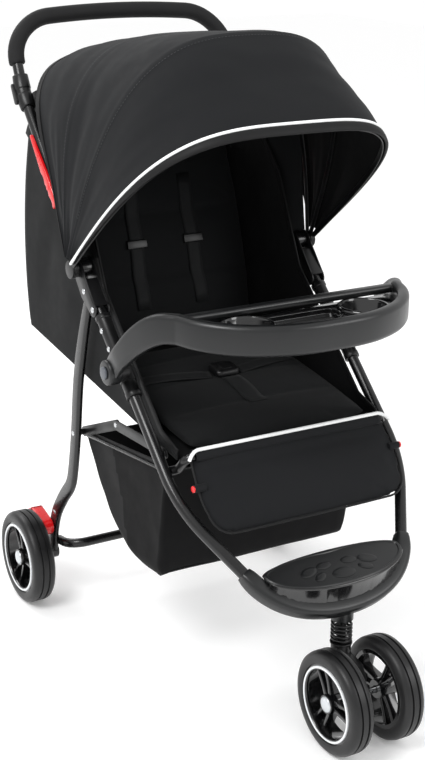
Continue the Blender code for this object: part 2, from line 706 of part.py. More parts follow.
def make_wheel(name, x, y, z, tyre_r, tyre_w, body, side):
    """A tyre and a rim with three double spokes; the bore is blind at the outer side."""
    half = tyre_w / 2
    seat = tyre_r - TYRE_DEPTH
    shoulder = tyre_r - 0.006
    tyre = [(-half + 0.001, seat), (half - 0.001, seat), (half, shoulder - 0.003),
            (half - 0.004, tyre_r - 0.0018), (half - 0.011, tyre_r), (-half + 0.011, tyre_r),
            (-half + 0.004, tyre_r - 0.0018), (-half, shoulder - 0.003)]
    add_piece(name + "_tyre_" + ("right" if side > 0 else "left"), turned(tyre, x, y, z), RUBBER, body)
    rim_r = seat - TOUCH
    ring = [(-half + 0.002, rim_r - 0.007), (half - 0.001, rim_r - 0.009), (half - 0.001, rim_r),
            (-half + 0.002, rim_r)]
    rim = add_piece(name + "_rim_" + ("right" if side > 0 else "left"), turned(ring, x, y, z), DARK_PLASTIC, body)
    spokes = bmesh.new()
    inner = HUB_R - 0.0030
    outer = rim_r - 0.0075
    for pair in range(3):
        for sign in (1, -1):
            spin = Matrix.Rotation(2 * math.pi * pair / 3 + math.pi / 6, 4, "X")
            size = Matrix.Diagonal((tyre_w - 0.014, SPOKE_THICK, outer - inner + 0.003, 1.0))
            move = Matrix.Translation((0, sign * SPOKE_OFFSET, (inner + outer) / 2))
            bmesh.ops.create_cube(spokes, size=1.0, matrix=Matrix.Translation((x, y, z)) @ spin @ move @ size)
    combine(rim, spokes, body, "UNION")
    hub = bar(x - half + 0.001, x + half - 0.001, y, z, HUB_R, 20)
    combine(rim, hub, body, "UNION")
    open_end = x - side * (half + 0.01)
    shut_end = x + side * (half - 0.006 + RUNNING)
    combine(rim, bar(open_end, shut_end, y, z, AXLE_R + RUNNING, 12), body, "DIFFERENCE")


def make_wheels():
    for word, side in SIDES:
        make_wheel("rear", side * REAR_WHEEL_X, 0, REAR_AXLE_Z, REAR_TYRE_R, REAR_TYRE_W,
                   "rear_wheel_" + word, side)
        make_wheel("front", side * FRONT_WHEEL_X, -WHEEL_BASE, FRONT_AXLE_Z, FRONT_TYRE_R, FRONT_TYRE_W,
                   "front_wheel_" + word, side)


def band_route():
    """The curved moulding that joins the front tubes below the footrest."""
    toe = Vector((FRONT_TOE_X, FRONT_TUBE_LENGTH))
    slant = Vector((FRONT_TOE_X - FRAME_X, FRONT_TUBE_LENGTH - FRONT_BEND_AT)).normalized()
    mouth = toe + TOUCH * slant
    start = toe + 0.006 * slant
    pull = start + 0.045 * slant
    flat = Vector((0.070, BAND_REACH))
    middle = Vector((0.0, BAND_REACH))
    half = [mouth]
    for step in range(9):
        t = step / 8
        half.append((1 - t) ** 3 * start + 3 * t * (1 - t) ** 2 * pull + 3 * t * t * (1 - t) * flat
                    + t ** 3 * middle)
    points = [front_point(p.x, p.y) for p in half]
    return points + [mirrored(-1, p) for p in reversed(points[:-1])]


def make_footrest():
    route = band_route()
    section = box_section(BAND_HALF_W, BAND_HALF_H, 0.005)
    band = add_piece("footrest_bracket", skin(rings_along(route, [section] * len(route), ALONG_FRONT.cross((1, 0, 0)))),
                     DARK_PLASTIC, "stroller")
    combine(band, upright(0, STEM_Y, HOUSING_BOTTOM_Z, HOUSING_TOP_Z, HOUSING_R), "stroller", "UNION")
    combine(band, upright(0, STEM_Y, HOUSING_BOTTOM_Z - 0.01, HOUSING_TOP_Z - 0.002, STEM_R + RUNNING, 14),
            "stroller", "DIFFERENCE")
    floor = BAND_HALF_H + TOUCH
    top_ring, low_ring, lip_in, lip_out = [], [], [], []
    for front, count in ((False, 9), (True, 11)):
        for step in range(count):
            share = 1 - 2 * step / (count - 1)
            if front:
                share = -(1 - 2 * (step + 1) / (count + 1))
            x = PLATE_HALF_W * math.sin(math.pi / 2 * share)
            bow = math.sqrt(max(0.0, 1 - (x / PLATE_HALF_W) ** 2))
            corner_y = PLATE_REAR_Y - PLATE_BOW
            y = corner_y + (PLATE_FRONT_Y - corner_y if front else PLATE_BOW) * bow
            point = Vector((x, y, PLATE_Z - PLATE_FALL * (PLATE_REAR_Y - y)))
            lift = (point - HIP).dot(OFF_FRONT)
            low = floor if front or bow < 0.01 else floor - 0.024 * bow
            top_ring.append(point)
            low_ring.append(point - (lift - low) * OFF_FRONT)
            if front:
                base = point - (lift - floor) * OFF_FRONT
                lip_in.append(base - 0.010 * ALONG_FRONT - Vector((0.08 * x, 0, 0)))
                lip_out.append(base + 0.016 * ALONG_FRONT + Vector((0.03 * x, 0, 0)))
    step_plate = add_piece("footrest_plate", skin([low_ring, top_ring]), DARK_PLASTIC, "stroller")
    lip = lip_in + list(reversed(lip_out))
    combine(step_plate, skin([lip, [p + LIP_THICK * OFF_FRONT for p in lip]]), "stroller", "UNION")


def make_caster():
    collar_top = SPRING_BOTTOM_Z - TOUCH
    collar_low = collar_top - 0.003
    crown_top = collar_low - TOUCH
    pin_low = crown_top - 0.026
    stem_top = HOUSING_TOP_Z - 0.002 - SUSPENSION_TRAVEL - 0.001
    stem = add_piece("caster_stem", upright(0, STEM_Y, pin_low + 0.001, stem_top, STEM_R, 14), STEEL, "suspension")
    combine(stem, upright(0, STEM_Y, collar_low, collar_top, HOUSING_R), "suspension", "UNION")
    rise = HOUSING_BOTTOM_Z - SPRING_BOTTOM_Z - 2 * SPRING_WIRE_R - 2 * TOUCH
    coil = []
    for step in range(9 * SPRING_TURNS + 1):
        turn = 2 * math.pi * step / 9
        coil.append(Vector((SPRING_R * math.cos(turn), STEM_Y + SPRING_R * math.sin(turn),
                            SPRING_BOTTOM_Z + SPRING_WIRE_R + TOUCH + rise * step / (9 * SPRING_TURNS))))
    gap = min((a - b).length for i, a in enumerate(coil) for b in coil[i + 7:]) - 2 * SPRING_WIRE_R
    print("suspension spring: least gap between turns", round(gap * 1000, 2), "mm")
    add_piece("suspension_spring", skin(rings_along(coil, [round_section(SPRING_WIRE_R, 6)] * len(coil), (0, 0, 1))),
              STEEL, "stroller")
    fork = add_piece("caster_fork", upright(0, STEM_Y, pin_low - 0.002, crown_top, FORK_R), DARK_PLASTIC, "caster")
    arm = hull_of_circles(((STEM_Y, pin_low + 0.006, 0.0135), (-WHEEL_BASE, FRONT_AXLE_Z, 0.0135)), 18)
    combine(fork, plate(arm, -FORK_HALF_W, FORK_HALF_W), "caster", "UNION")
    combine(fork, upright(0, STEM_Y, pin_low, crown_top + 0.01, STEM_R + RUNNING, 14), "caster", "DIFFERENCE")
    combine(fork, bar(-0.03, 0.03, -WHEEL_BASE, FRONT_AXLE_Z, AXLE_R + RUNNING, 12), "caster", "DIFFERENCE")
    reach = FRONT_WHEEL_X + FRONT_TYRE_W / 2 - 0.006
    add_piece("front_axle", bar(-reach, reach, -WHEEL_BASE, FRONT_AXLE_Z, AXLE_R, 12), STEEL, "caster")


def make_tray_brackets():
    for word, side in SIDES:
        route = [front_point(side * FRAME_X, BRACKET_FROM), front_point(side * FRAME_X, BRACKET_TO)]
        bracket = add_piece("tray_bracket_" + word, tube(route, BRACKET_R, 14, OFF_FRONT), DARK_PLASTIC, "stroller")
        boss_from = side * (FRAME_X + 0.004)
        boss_to = side * (TRAY_ARM_X - TRAY_ARM_HALF_T - TOUCH)
        combine(bracket, bar(boss_from, boss_to, TRAY_ROOT.y, TRAY_ROOT.z, 0.0150, 18), "stroller", "UNION")
        pin_to = side * (TRAY_ARM_X - 0.002)
        combine(bracket, bar(boss_from, pin_to, TRAY_ROOT.y, TRAY_ROOT.z, 0.0050, 12), "stroller", "UNION")
        bore = [front_point(side * FRAME_X, BRACKET_FROM - 0.02), front_point(side * FRAME_X, BRACKET_TO + 0.02)]
        combine(bracket, tube(bore, TUBE_R + TOUCH, 12, OFF_FRONT), "stroller", "DIFFERENCE")


def tray_outline(inset):
    """The tray's outline in plan: a straight rear edge, round corners and a bowed front."""
    points = []
    half_w = TRAY_HALF_W - inset
    rear = TRAY_REAR_Y - inset
    front = TRAY_FRONT_Y + inset
    middle = TRAY_REAR_Y - TRAY_CORNER_D
    for step in range(32):
        turn = 2 * math.pi * step / 32
        c, s = math.cos(turn), math.sin(turn)
        power, reach = (2 / 1.85, middle - front) if s < 0 else (2 / 6, rear - middle)
        x = half_w * math.copysign(abs(c) ** power, c)
        y = middle + reach * math.copysign(abs(s) ** power, s)
        points.append((x, y))
    return points


def make_tray():
    depth = TRAY_TOP_Z - TRAY_BOTTOM_Z
    levels = ((0.006, TRAY_BOTTOM_Z), (0.0, TRAY_BOTTOM_Z + 0.35 * depth), (0.001, TRAY_TOP_Z - 0.012),
              (0.008, TRAY_TOP_Z - 0.002), (0.015, TRAY_TOP_Z))
    rings = [[Vector((x, y, z)) for x, y in tray_outline(inset)] for inset, z in levels]
    tray = add_piece("tray", skin(rings), DARK_PLASTIC, "tray_pivot")
    for word, side in SIDES:
        root = (side * TRAY_ARM_X, TRAY_ROOT.y, TRAY_ROOT.z)
        lap = (side * (TRAY_ARM_X - 0.001), TRAY_ROOT.y - 0.030, TRAY_ROOT.z + 0.033)
        rise = (side * (TRAY_ARM_X - 0.0075), TRAY_ROOT.y - 0.065, TRAY_ROOT.z + 0.064)
        crest = (side * (TRAY_HALF_W + 0.004), TRAY_REAR_Y + 0.012, TRAY_TOP_Z - 0.022)
        end = (side * (TRAY_HALF_W - 0.018), TRAY_REAR_Y - 0.024, TRAY_TOP_Z - 0.0235)
        route = smooth_route((root, lap, rise, crest, end), 3)
        half_w = [0.017 + 0.004 * min(1.0, i / 5) for i in range(len(route))]
        sections = [box_section(half_w[i], TRAY_ARM_HALF_T, 0.005) for i in range(len(route))]
        arm = skin(rings_along(route, sections, (1, 0, 0)))
        combine(tray, arm, "tray_pivot", "UNION")
        disc = bar(side * (TRAY_ARM_X - TRAY_ARM_HALF_T), side * (TRAY_ARM_X + TRAY_ARM_HALF_T),
                   TRAY_ROOT.y, TRAY_ROOT.z, 0.0195, 20)
        combine(tray, disc, "tray_pivot", "UNION")
        well = upright(side * CUP_X, CUP_Y, TRAY_TOP_Z - CUP_DEPTH - CUP_WALL, TRAY_TOP_Z - 0.010,
                       CUP_R + CUP_WALL, 24)
        combine(tray, well, "tray_pivot", "UNION")
    for word, side in SIDES:
        cup = upright(side * CUP_X, CUP_Y, TRAY_TOP_Z - CUP_DEPTH, TRAY_TOP_Z + 0.02, CUP_R, 24)
        combine(tray, cup, "tray_pivot", "DIFFERENCE")
        pin_from = side * (TRAY_ARM_X - 0.03)
        pin_to = side * (TRAY_ARM_X - 0.0015)
        combine(tray, bar(pin_from, pin_to, TRAY_ROOT.y, TRAY_ROOT.z, 0.0050 + RUNNING, 12),
                "tray_pivot", "DIFFERENCE")
        seat_from = side * (TRAY_ARM_X + 0.0015)
        combine(tray, bar(seat_from, side * (TRAY_ARM_X + 0.03), TRAY_ROOT.y, TRAY_ROOT.z,
                          0.0100 + RUNNING, 18), "tray_pivot", "DIFFERENCE")
        button = bar(side * (TRAY_ARM_X + 0.0055), side * (TRAY_ARM_X + TRAY_ARM_HALF_T + 0.004),
                     TRAY_ROOT.y, TRAY_ROOT.z, 0.0100, 18)
        add_piece("tray_button_" + word, button, GREY_BUTTON, "tray_release_" + word)
    recess = bmesh.new()
    size = Matrix.Diagonal((2 * (CUP_X - CUP_R - 0.010), 0.062, 0.016, 1.0))
    bmesh.ops.create_cube(recess, size=1.0, matrix=Matrix.Translation((0, CUP_Y - 0.004, TRAY_TOP_Z)) @ size)
    combine(tray, recess, "tray_pivot", "DIFFERENCE")


def make_seat_sling():
    """One piece of cloth makes the seat's floor and both side walls."""
    hip_low = front_point(0, 0.020)
    knee = front_point(0, 0.270)
    wall = [(FLOOR_FRONT_Y, FLOOR_FRONT_Z), (FLOOR_REAR_Y, FLOOR_REAR_Z), *WALL_BACK, *WALL_TOP,
            (hip_low.y + WALL_SIDE_LAP[0], hip_low.z + WALL_SIDE_LAP[1]),
            (hip_low.y, hip_low.z), (knee.y, knee.z), (FLOOR_FRONT_Y, FLOOR_FRONT_Z + 0.012)]
    sling = add_piece("seat_sling", plate(wall, -SLING_HALF_W, SLING_HALF_W), FABRIC, "stroller")
    far_y = 0.30
    room = [(FLOOR_FRONT_Y - 0.2, floor_z(FLOOR_FRONT_Y - 0.2) + CLOTH), (far_y, floor_z(far_y) + CLOTH),
            (far_y, 1.2), (FLOOR_FRONT_Y - 0.2, 1.2)]
    combine(sling, plate(room, CLOTH - SLING_HALF_W, SLING_HALF_W - CLOTH), "stroller", "DIFFERENCE")
    for word, side in SIDES:
        rivet = bar(side * (SLING_HALF_W - 0.002), side * (CHEEK_IN - TOUCH), MAIN_PIVOT.y - 0.004,
                    MAIN_PIVOT.z - 0.008, 0.0100)
        combine(sling, rivet, "stroller", "UNION")


def make_back_curtain():
    """Cloth that hangs behind the backrest, with its soft upright folds."""
    low = Vector((FLOOR_REAR_Y - 0.001, floor_z(FLOOR_REAR_Y) + CLOTH + TOUCH))
    heights = [(low.x, low.y)] + [(y - CURTAIN_IN, z) for y, z in WALL_BACK]
    half_w = SLING_HALF_W - CLOTH - TOUCH
    outer, inner = [], []
    for row, (y, z) in enumerate(heights):
        top_line, low_line = [], []
        for column in range(25):
            x = -half_w + 2 * half_w * column / 24
            fold = 0.0035 * math.sin(math.pi * column / 3) * math.sin(math.pi * row / len(WALL_BACK))
            top_line.append(Vector((x, y + fold, z)))
            low_line.append(Vector((x, y + fold - CLOTH, z)))
        outer.append(top_line)
        inner.append(low_line)
    add_piece("back_curtain", shell(outer, inner), FABRIC, "stroller")


def seat_place():
    middle_y = (SEAT_FRONT_Y + SEAT_REAR_Y) / 2
    tilt = math.atan(FLOOR_SLOPE)
    turn = Matrix.Rotation(tilt, 4, "X")
    rise = SEAT_THICK / 2 + CLOTH + TOUCH
    return Matrix.Translation((0, middle_y, floor_z(middle_y))) @ turn @ Matrix.Translation((0, 0, rise))


def back_place():
    turn = Matrix.Rotation(math.pi / 2 - BACK_LEAN, 4, "X")
    return Matrix.Translation(BACK_PIVOT) @ turn @ Matrix.Translation((0, BACK_LENGTH / 2 + BACK_ROD_R, 0))


SEAT_CROWN = 0.007
BACK_CROWN = 0.006
SEAT_CHANNELS = (-0.45, 0.1, 0.6)
BACK_CHANNELS = (-0.35, 0.25)
SEAT_HALF_L = (SEAT_REAR_Y - SEAT_FRONT_Y) / 2 / math.cos(math.atan(FLOOR_SLOPE))


def make_cushions():
    add_piece("seat_cushion", cushion(SEAT_HALF_W, SEAT_HALF_L, SEAT_THICK, SEAT_CROWN, seat_place(),
                                      SEAT_CHANNELS), FABRIC, "stroller")
    back = add_piece("backrest", cushion(SEAT_HALF_W, BACK_LENGTH / 2, BACK_THICK, BACK_CROWN,
                                         back_place() @ Matrix.Rotation(0.0, 4, "X"), BACK_CHANNELS),
                     FABRIC, "back_pivot")
    reach = SLING_HALF_W - CLOTH - TOUCH
    combine(back, bar(-reach, reach, BACK_PIVOT.y, BACK_PIVOT.z, BACK_ROD_R, 12), "back_pivot", "UNION")
    spine = plate([(BACK_PIVOT.y - 0.004, BACK_PIVOT.z), (BACK_PIVOT.y + 0.004, BACK_PIVOT.z - 0.002),
                   (BACK_PIVOT.y + 0.030, BACK_PIVOT.z + 0.052), (BACK_PIVOT.y + 0.014, BACK_PIVOT.z + 0.055)],
                  -SEAT_HALF_W * 0.8, SEAT_HALF_W * 0.8)
    combine(back, spine, "back_pivot", "UNION")


def seat_surface(x, v, lift):
    """A point above the seat cushion: x across, v from -1 at the front to 1 at the back."""
    u = x / SEAT_HALF_W
    height = pad_height(u, v, SEAT_THICK, SEAT_CROWN, (), 0.0)
    return seat_place() @ Vector((x, SEAT_HALF_L * v, height + lift))


def back_surface(x, v, lift):
    u = x / SEAT_HALF_W
    height = pad_height(u, v, BACK_THICK, BACK_CROWN, (), 0.0)
    return back_place() @ Vector((x, BACK_LENGTH / 2 * v, height + lift))


def make_harness():
    """Webbing on the seat and backrest, with a buckle where the straps meet."""
    strap_t = 0.0009
    lift = strap_t + TOUCH
    buckle_v = 0.12
    crotch = [seat_surface(0, -0.55 + 0.09 * i, lift) for i in range(6)]
    add_piece("crotch_strap", strap(crotch, 0.016, strap_t, (1, 0, 0)), WEBBING, "stroller")
    middle = seat_place() @ Vector((0, SEAT_HALF_L * buckle_v, SEAT_THICK / 2 + SEAT_CROWN + 0.0067))
    block = bmesh.new()
    tilt = Matrix.Rotation(math.atan(FLOOR_SLOPE), 4, "X")
    bmesh.ops.create_cube(block, size=1.0, matrix=Matrix.Translation(middle) @ tilt
                          @ Matrix.Diagonal((0.044, 0.040, 0.012, 1.0)))
    bmesh.ops.bevel(block, geom=block.edges[:], offset=0.004, segments=2, affect="EDGES", profile=0.5)
    add_piece("harness_buckle", block, DARK_PLASTIC, "stroller")
    for word, side in SIDES:
        route = [seat_surface(side * (0.0280 + 0.0175 * i), buckle_v + 0.02 * i, lift) for i in range(8)]
        add_piece("waist_strap_" + word, strap(route, 0.0125, strap_t, (0, 1, 0.12)), WEBBING, "stroller")
        rise = [back_surface(side * (0.052 + 0.004 * (1 - i / 9)), -0.62 + 0.145 * i, lift) for i in range(9)]
        add_piece("shoulder_strap_" + word, strap(rise, 0.0125, strap_t, (1, 0, 0)), WEBBING, "back_pivot")


def make_leg_rest():
    foot = front_point(0, BAR_S)
    end_x = FRAME_X - TUBE_R - TOUCH
    inner_x = end_x - 0.014
    corners = [(end_x, foot.y, foot.z), (inner_x, foot.y, foot.z), (inner_x, REST_PIVOT.y, REST_PIVOT.z)]
    corners += [mirrored(-1, p) for p in reversed(corners)]
    route = filleted(corners, [0.006, 0.012, 0.012, 0.006], 4)
    add_piece("seat_front_bar", tube(route, BAR_R, 10), BLACK_TUBE, "stroller")
    turn = Matrix.Rotation(math.pi + REST_FALL, 4, "X")
    start = BAR_R + 0.0010
    shift = Matrix.Translation((0, start + REST_LENGTH / 2, 0))
    place = Matrix.Translation(REST_PIVOT) @ turn @ shift @ Matrix.Rotation(math.pi, 4, "Y")
    rest = add_piece("leg_rest", cushion(REST_HALF_W, REST_LENGTH / 2, REST_THICK, 0.004, place, (-0.55,)),
                     FABRIC, "rest_pivot")
    down = Vector((0, -math.cos(REST_FALL), -math.sin(REST_FALL)))
    for x in (-0.12, 0.12):
        far = REST_PIVOT + 0.030 * down
        lug = hull_of_circles(((REST_PIVOT.y, REST_PIVOT.z, BAR_R + 0.0040), (far.y, far.z, 0.004)), 16)
        combine(rest, plate(lug, x - 0.006, x + 0.006), "rest_pivot", "UNION")
    combine(rest, bar(-0.16, 0.16, REST_PIVOT.y, REST_PIVOT.z, BAR_R + TOUCH, 16), "rest_pivot", "DIFFERENCE")
    centre = REST_PIVOT + (start + BUTTON_SHARE * REST_LENGTH) * down
    for word, side in SIDES:
        edge = side * REST_HALF_W * 0.955
        socket = bar(edge - side * 0.020, edge + side * 0.0074, centre.y, centre.z, 0.0080, 12)
        combine(rest, socket, "rest_pivot", "UNION")
        bore = bar(edge + side * 0.0016, edge + side * 0.0200, centre.y, centre.z, 0.0050 + RUNNING, 12)
        combine(rest, bore, "rest_pivot", "DIFFERENCE")
        button = bar(edge + side * (0.0020 + REST_BUTTON_TRAVEL), edge + side * 0.0104, centre.y, centre.z, 0.0050, 12)
        add_piece("leg_rest_button_" + word, button, RED, "rest_button_" + word)


def make_basket():
    front_y, front_z = BASKET_PROFILE[0]
    rear_y, rear_z = BASKET_PROFILE[-1]
    corners = [(RIM_X, rear_y, rear_z), (RIM_X, front_y - RIM_R - TOUCH, front_z - RIM_DROP)]
    corners += [mirrored(-1, p) for p in reversed(corners)]
    route = filleted(corners, [RIM_R + TOUCH] * 2, 4)
    add_piece("basket_rim", tube(route, RIM_R, 8), BLACK_TUBE, "stroller")
    basket = add_piece("basket", plate(BASKET_PROFILE, -BASKET_HALF_W, BASKET_HALF_W), FABRIC, "stroller")
    wall = 0.0025
    first, last = BASKET_PROFILE[0], BASKET_PROFILE[-1]
    room = [(first[0] + wall + 0.006, first[1] + 0.03), (-0.352 + wall, 0.172 + wall),
            (-0.262, 0.174 + wall), (-0.200 - 0.0012, 0.204 + wall), (-0.158 - 0.0020, 0.250 + 0.0017),
            (-0.124 - 0.0022, 0.300 + 0.0015), (last[0] - 0.0022, last[1] + 0.0008), (last[0] - 0.0022, last[1] + 0.08),
            (first[0] + wall + 0.006, last[1] + 0.12)]
    combine(basket, plate(room, wall - BASKET_HALF_W, BASKET_HALF_W - wall), "stroller", "DIFFERENCE")


def arch(half_w, reach, count, square, start=5.0):
    """Points (x, s) of a squarish arch, from the left foot over the top to the right foot."""
    points = []
    for step in range(count):
        turn = math.radians(180 - start - (180 - 2 * start) * step / (count - 1))
        c, s = math.cos(turn), math.sin(turn)
        length = ((abs(c) / half_w) ** square + (abs(s) / reach) ** square) ** (-1 / square)
        points.append((length * c, length * s))
    return points


def canopy_point(x, s, angle, off=0.0):
    """A point of the canopy: s out from the main pivot at an angle up from the front."""
    out = Vector((0, -math.cos(angle), math.sin(angle)))
    normal = Vector((0, math.sin(angle), math.cos(angle)))
    return Vector((x, 0, 0)) + MAIN_PIVOT + s * out + off * normal


def canopy_line(angle):
    """The canopy's reach and squareness at an angle: straight runs from bow to bow, with a slight sag."""
    bows = (FRONT_BOW, MIDDLE_BOW, REAR_BOW, CANOPY_BACK)
    for (low, reach_low, square_low), (high, reach_high, square_high) in zip(bows[:-1], bows[1:]):
        if angle <= high or high == CANOPY_BACK[0]:
            share = (angle - low) / (high - low)
            sag = 0.006 * math.sin(math.pi * min(max(share, 0), 1))
            return (reach_low + (reach_high - reach_low) * share - sag,
                    square_low + (square_high - square_low) * share)


def make_canopy():
    columns = 21
    angles = [FRONT_BOW[0] - math.radians(0.9)]
    for low, high in ((FRONT_BOW, MIDDLE_BOW), (MIDDLE_BOW, REAR_BOW), (REAR_BOW, CANOPY_BACK)):
        angles += [low[0] + (high[0] - low[0]) * step / 3 for step in range(3)]
    angles.append(CANOPY_BACK[0])
    outer, inner = [], []
    for angle in angles:
        reach, square = canopy_line(angle)
        outside = arch(CANOPY_HALF_W, reach, columns, square)
        inside = arch(CANOPY_HALF_W - CANOPY_CLOTH, reach - CANOPY_CLOTH, columns, square)
        outer.append([canopy_point(x, s, angle) for x, s in outside])
        inner.append([canopy_point(x, s, angle) for x, s in inside])
    add_piece("canopy_fabric", shell(outer, inner), FABRIC, "stroller")
    layers = (("canopy_front_bow", FRONT_BOW, "front_canopy_pivot"),
              ("canopy_middle_bow", MIDDLE_BOW, "middle_canopy_pivot"), ("canopy_rear_bow", REAR_BOW, "stroller"))
    gap = CANOPY_CLOTH + 0.0008
    for layer, (name, (angle, reach, square), body) in enumerate(layers):
        half_w = CANOPY_HALF_W - gap - layer * BOW_LAYER
        top = reach - gap - BOW_CROWN_GAP - layer * BOW_LAYER
        rows = {"outer": [], "inner": []}
        for off in (-BOW_HALF_H, BOW_HALF_H):
            rows["outer"].append([canopy_point(x, s, angle, off) for x, s in arch(half_w, top, 21, square, 3.0)])
            rows["inner"].append([canopy_point(x, s, angle, off)
                                  for x, s in arch(half_w - BOW_THICK, top - BOW_THICK, 21, square, 3.0)])
        bow = add_piece(name, shell(rows["outer"], rows["inner"]), DARK_PLASTIC, body)
        for word, side in SIDES:
            eye = bar(side * (half_w - BOW_THICK), side * half_w, MAIN_PIVOT.y, MAIN_PIVOT.z, 0.0145, 18)
            combine(bow, eye, body, "UNION")
        for word, side in SIDES:
            bore = bar(side * (half_w - 0.02), side * (half_w + 0.02), MAIN_PIVOT.y, MAIN_PIVOT.z,
                       HINGE_PIN_R + RUNNING, 12)
            combine(bow, bore, body, "DIFFERENCE")
    lowest = CANOPY_HALF_W - gap - 2 * BOW_LAYER - BOW_THICK - TOUCH
    for word, side in SIDES:
        hub = add_piece("canopy_hinge_" + word,
                        bar(side * (CHEEK_OUT + TOUCH), side * lowest, MAIN_PIVOT.y, MAIN_PIVOT.z, 0.0130, 18),
                        DARK_PLASTIC, "stroller")
        combine(hub, bar(side * (CHEEK_OUT + 0.002), side * (CANOPY_HALF_W - gap), MAIN_PIVOT.y, MAIN_PIVOT.z,
                         HINGE_PIN_R, 12), "stroller", "UNION")


make_empties()
make_front_tubes()
make_hinge_housings()
make_push_handle()
make_fold_latches()
make_rear_legs()
make_brake_pedals()
make_braces()
make_wheels()
make_footrest()
make_caster()
make_tray_brackets()
make_tray()
make_seat_sling()
make_back_curtain()
make_cushions()
make_harness()
make_leg_rest()
make_basket()
make_canopy()
for joint_name, (joint_object, joint_place) in EMPTIES.items():
    print(joint_name, [round(value, 5) for value in joint_place + Vector((0, ORIGIN_Y, 0))])
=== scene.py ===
# %% [markdown]
# # A three-wheel stroller, dressed over its CAD frame
#
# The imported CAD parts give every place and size. Each step below puts a finer piece over one or more of
# them: tubes first, then mouldings, wheels, the tray, and last the sewn parts, which decide most of the look.

# %% Load the frame
import json
import math

import bmesh
import bpy
from mathutils import Matrix, Vector, noise

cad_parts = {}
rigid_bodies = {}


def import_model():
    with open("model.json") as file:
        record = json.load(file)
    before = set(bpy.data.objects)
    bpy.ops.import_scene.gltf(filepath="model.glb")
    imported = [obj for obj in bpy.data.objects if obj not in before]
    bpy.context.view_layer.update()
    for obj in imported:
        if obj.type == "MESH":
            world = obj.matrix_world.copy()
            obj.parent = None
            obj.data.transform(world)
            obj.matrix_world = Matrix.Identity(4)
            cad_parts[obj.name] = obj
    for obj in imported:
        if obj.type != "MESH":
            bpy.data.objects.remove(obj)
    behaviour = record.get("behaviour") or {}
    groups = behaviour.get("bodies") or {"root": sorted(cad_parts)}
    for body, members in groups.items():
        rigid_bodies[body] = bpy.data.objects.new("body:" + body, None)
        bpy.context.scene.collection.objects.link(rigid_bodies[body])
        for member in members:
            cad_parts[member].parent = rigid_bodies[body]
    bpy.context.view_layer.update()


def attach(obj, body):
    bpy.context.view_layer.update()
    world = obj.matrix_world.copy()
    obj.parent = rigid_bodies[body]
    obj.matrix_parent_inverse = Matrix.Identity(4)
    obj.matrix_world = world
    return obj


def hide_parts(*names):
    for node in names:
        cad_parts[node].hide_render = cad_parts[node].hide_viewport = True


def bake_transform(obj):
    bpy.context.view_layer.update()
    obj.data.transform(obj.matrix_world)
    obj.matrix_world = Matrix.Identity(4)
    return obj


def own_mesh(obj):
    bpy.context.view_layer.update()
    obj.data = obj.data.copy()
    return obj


for item in list(bpy.data.objects):
    bpy.data.objects.remove(item, do_unlink=True)
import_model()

# %% [markdown]
# ## Sizes
#
# The frame's lines are straight in side view, so most places are "so far down the front tube" or "so far up
# the handle tube" from the hip, where the two lines meet. Y is measured from the rear axle.


# %% Sizes from the CAD
def at(x, y, z):
    """A point, or a line, from its three numbers."""
    return Vector((x, y, z))


AXLE_Y = 0.30175
FRAME_X = 0.200
TUBE_R = 0.009
HIP = at(0, -0.175, 0.612)
FALL, RISE = math.radians(42.6), math.radians(47.5)
ALONG_FRONT = at(0, -math.cos(FALL), -math.sin(FALL))
OFF_FRONT = at(0, -math.sin(FALL), math.cos(FALL))
ALONG_HANDLE = at(0, math.cos(RISE), math.sin(RISE))
OFF_HANDLE = at(0, -math.sin(RISE), math.cos(RISE))
MAIN_PIVOT = HIP + 0.030 * ALONG_HANDLE
LEG_PIVOT = MAIN_PIVOT + at(0, -0.023, -0.031)
HANDLE_BEND = HIP + 0.3606 * ALONG_HANDLE
HANDLE_TOP = at(0, 0.120, 0.9935)
TRAY_ROOT = HIP + 0.165 * ALONG_FRONT + 0.016 * OFF_FRONT
REST_PIVOT = HIP + 0.335 * ALONG_FRONT + 0.036 * OFF_FRONT
FLOOR_A, FLOOR_B = at(0, -0.424, 0.4022), at(0, 0.1150, 0.46677)
BACK_PIVOT = at(0, -0.085, 0.45882)
STEM_Y = -0.605
REAR_AXLE_Z, FRONT_AXLE_Z = 0.08099, 0.0785
SIDES = (("left", -1), ("right", 1))
X = at(1, 0, 0)
UP = at(0, 0, 1)


def front_point(x, s, lift=0.0):
    """A point so far down the front tube from the hip, lifted off its line."""
    return x * X + HIP + s * ALONG_FRONT + lift * OFF_FRONT


def handle_point(x, t, lift=0.0):
    """A point so far up the handle tube from the hip, lifted off its line."""
    return x * X + HIP + t * ALONG_HANDLE + lift * OFF_HANDLE


print("hinge at", [round(v, 4) for v in MAIN_PIVOT], "tray root", [round(v, 4) for v in TRAY_ROOT])

# %% [markdown]
# ## Camera, lamps and floor
#
# The camera stands to the front left and looks down about nineteen degrees. A long lens keeps the wheels
# nearly round. White surroundings and three soft lamps give black parts their long pale edges.

# %% Camera
camera_data = bpy.data.cameras.new("camera")
camera_data.lens = 68.26
camera_data.sensor_width = 36.0
camera = bpy.data.objects.new("camera", camera_data)
bpy.context.scene.collection.objects.link(camera)
right = at(0.86744, -0.49746, 0.00903)
upward = at(0.15608, 0.28930, 0.94443)
backward = at(-0.47242, -0.81783, 0.32859)
turn = Matrix((right, upward, backward)).transposed().to_4x4()
camera.matrix_world = Matrix.Translation((-1.12098, -1.85326, 1.21280)) @ turn
bpy.context.scene.camera = camera
bpy.context.scene.view_settings.view_transform = "Standard"
print("camera", [round(v, 3) for v in camera.location], "lens", camera_data.lens)


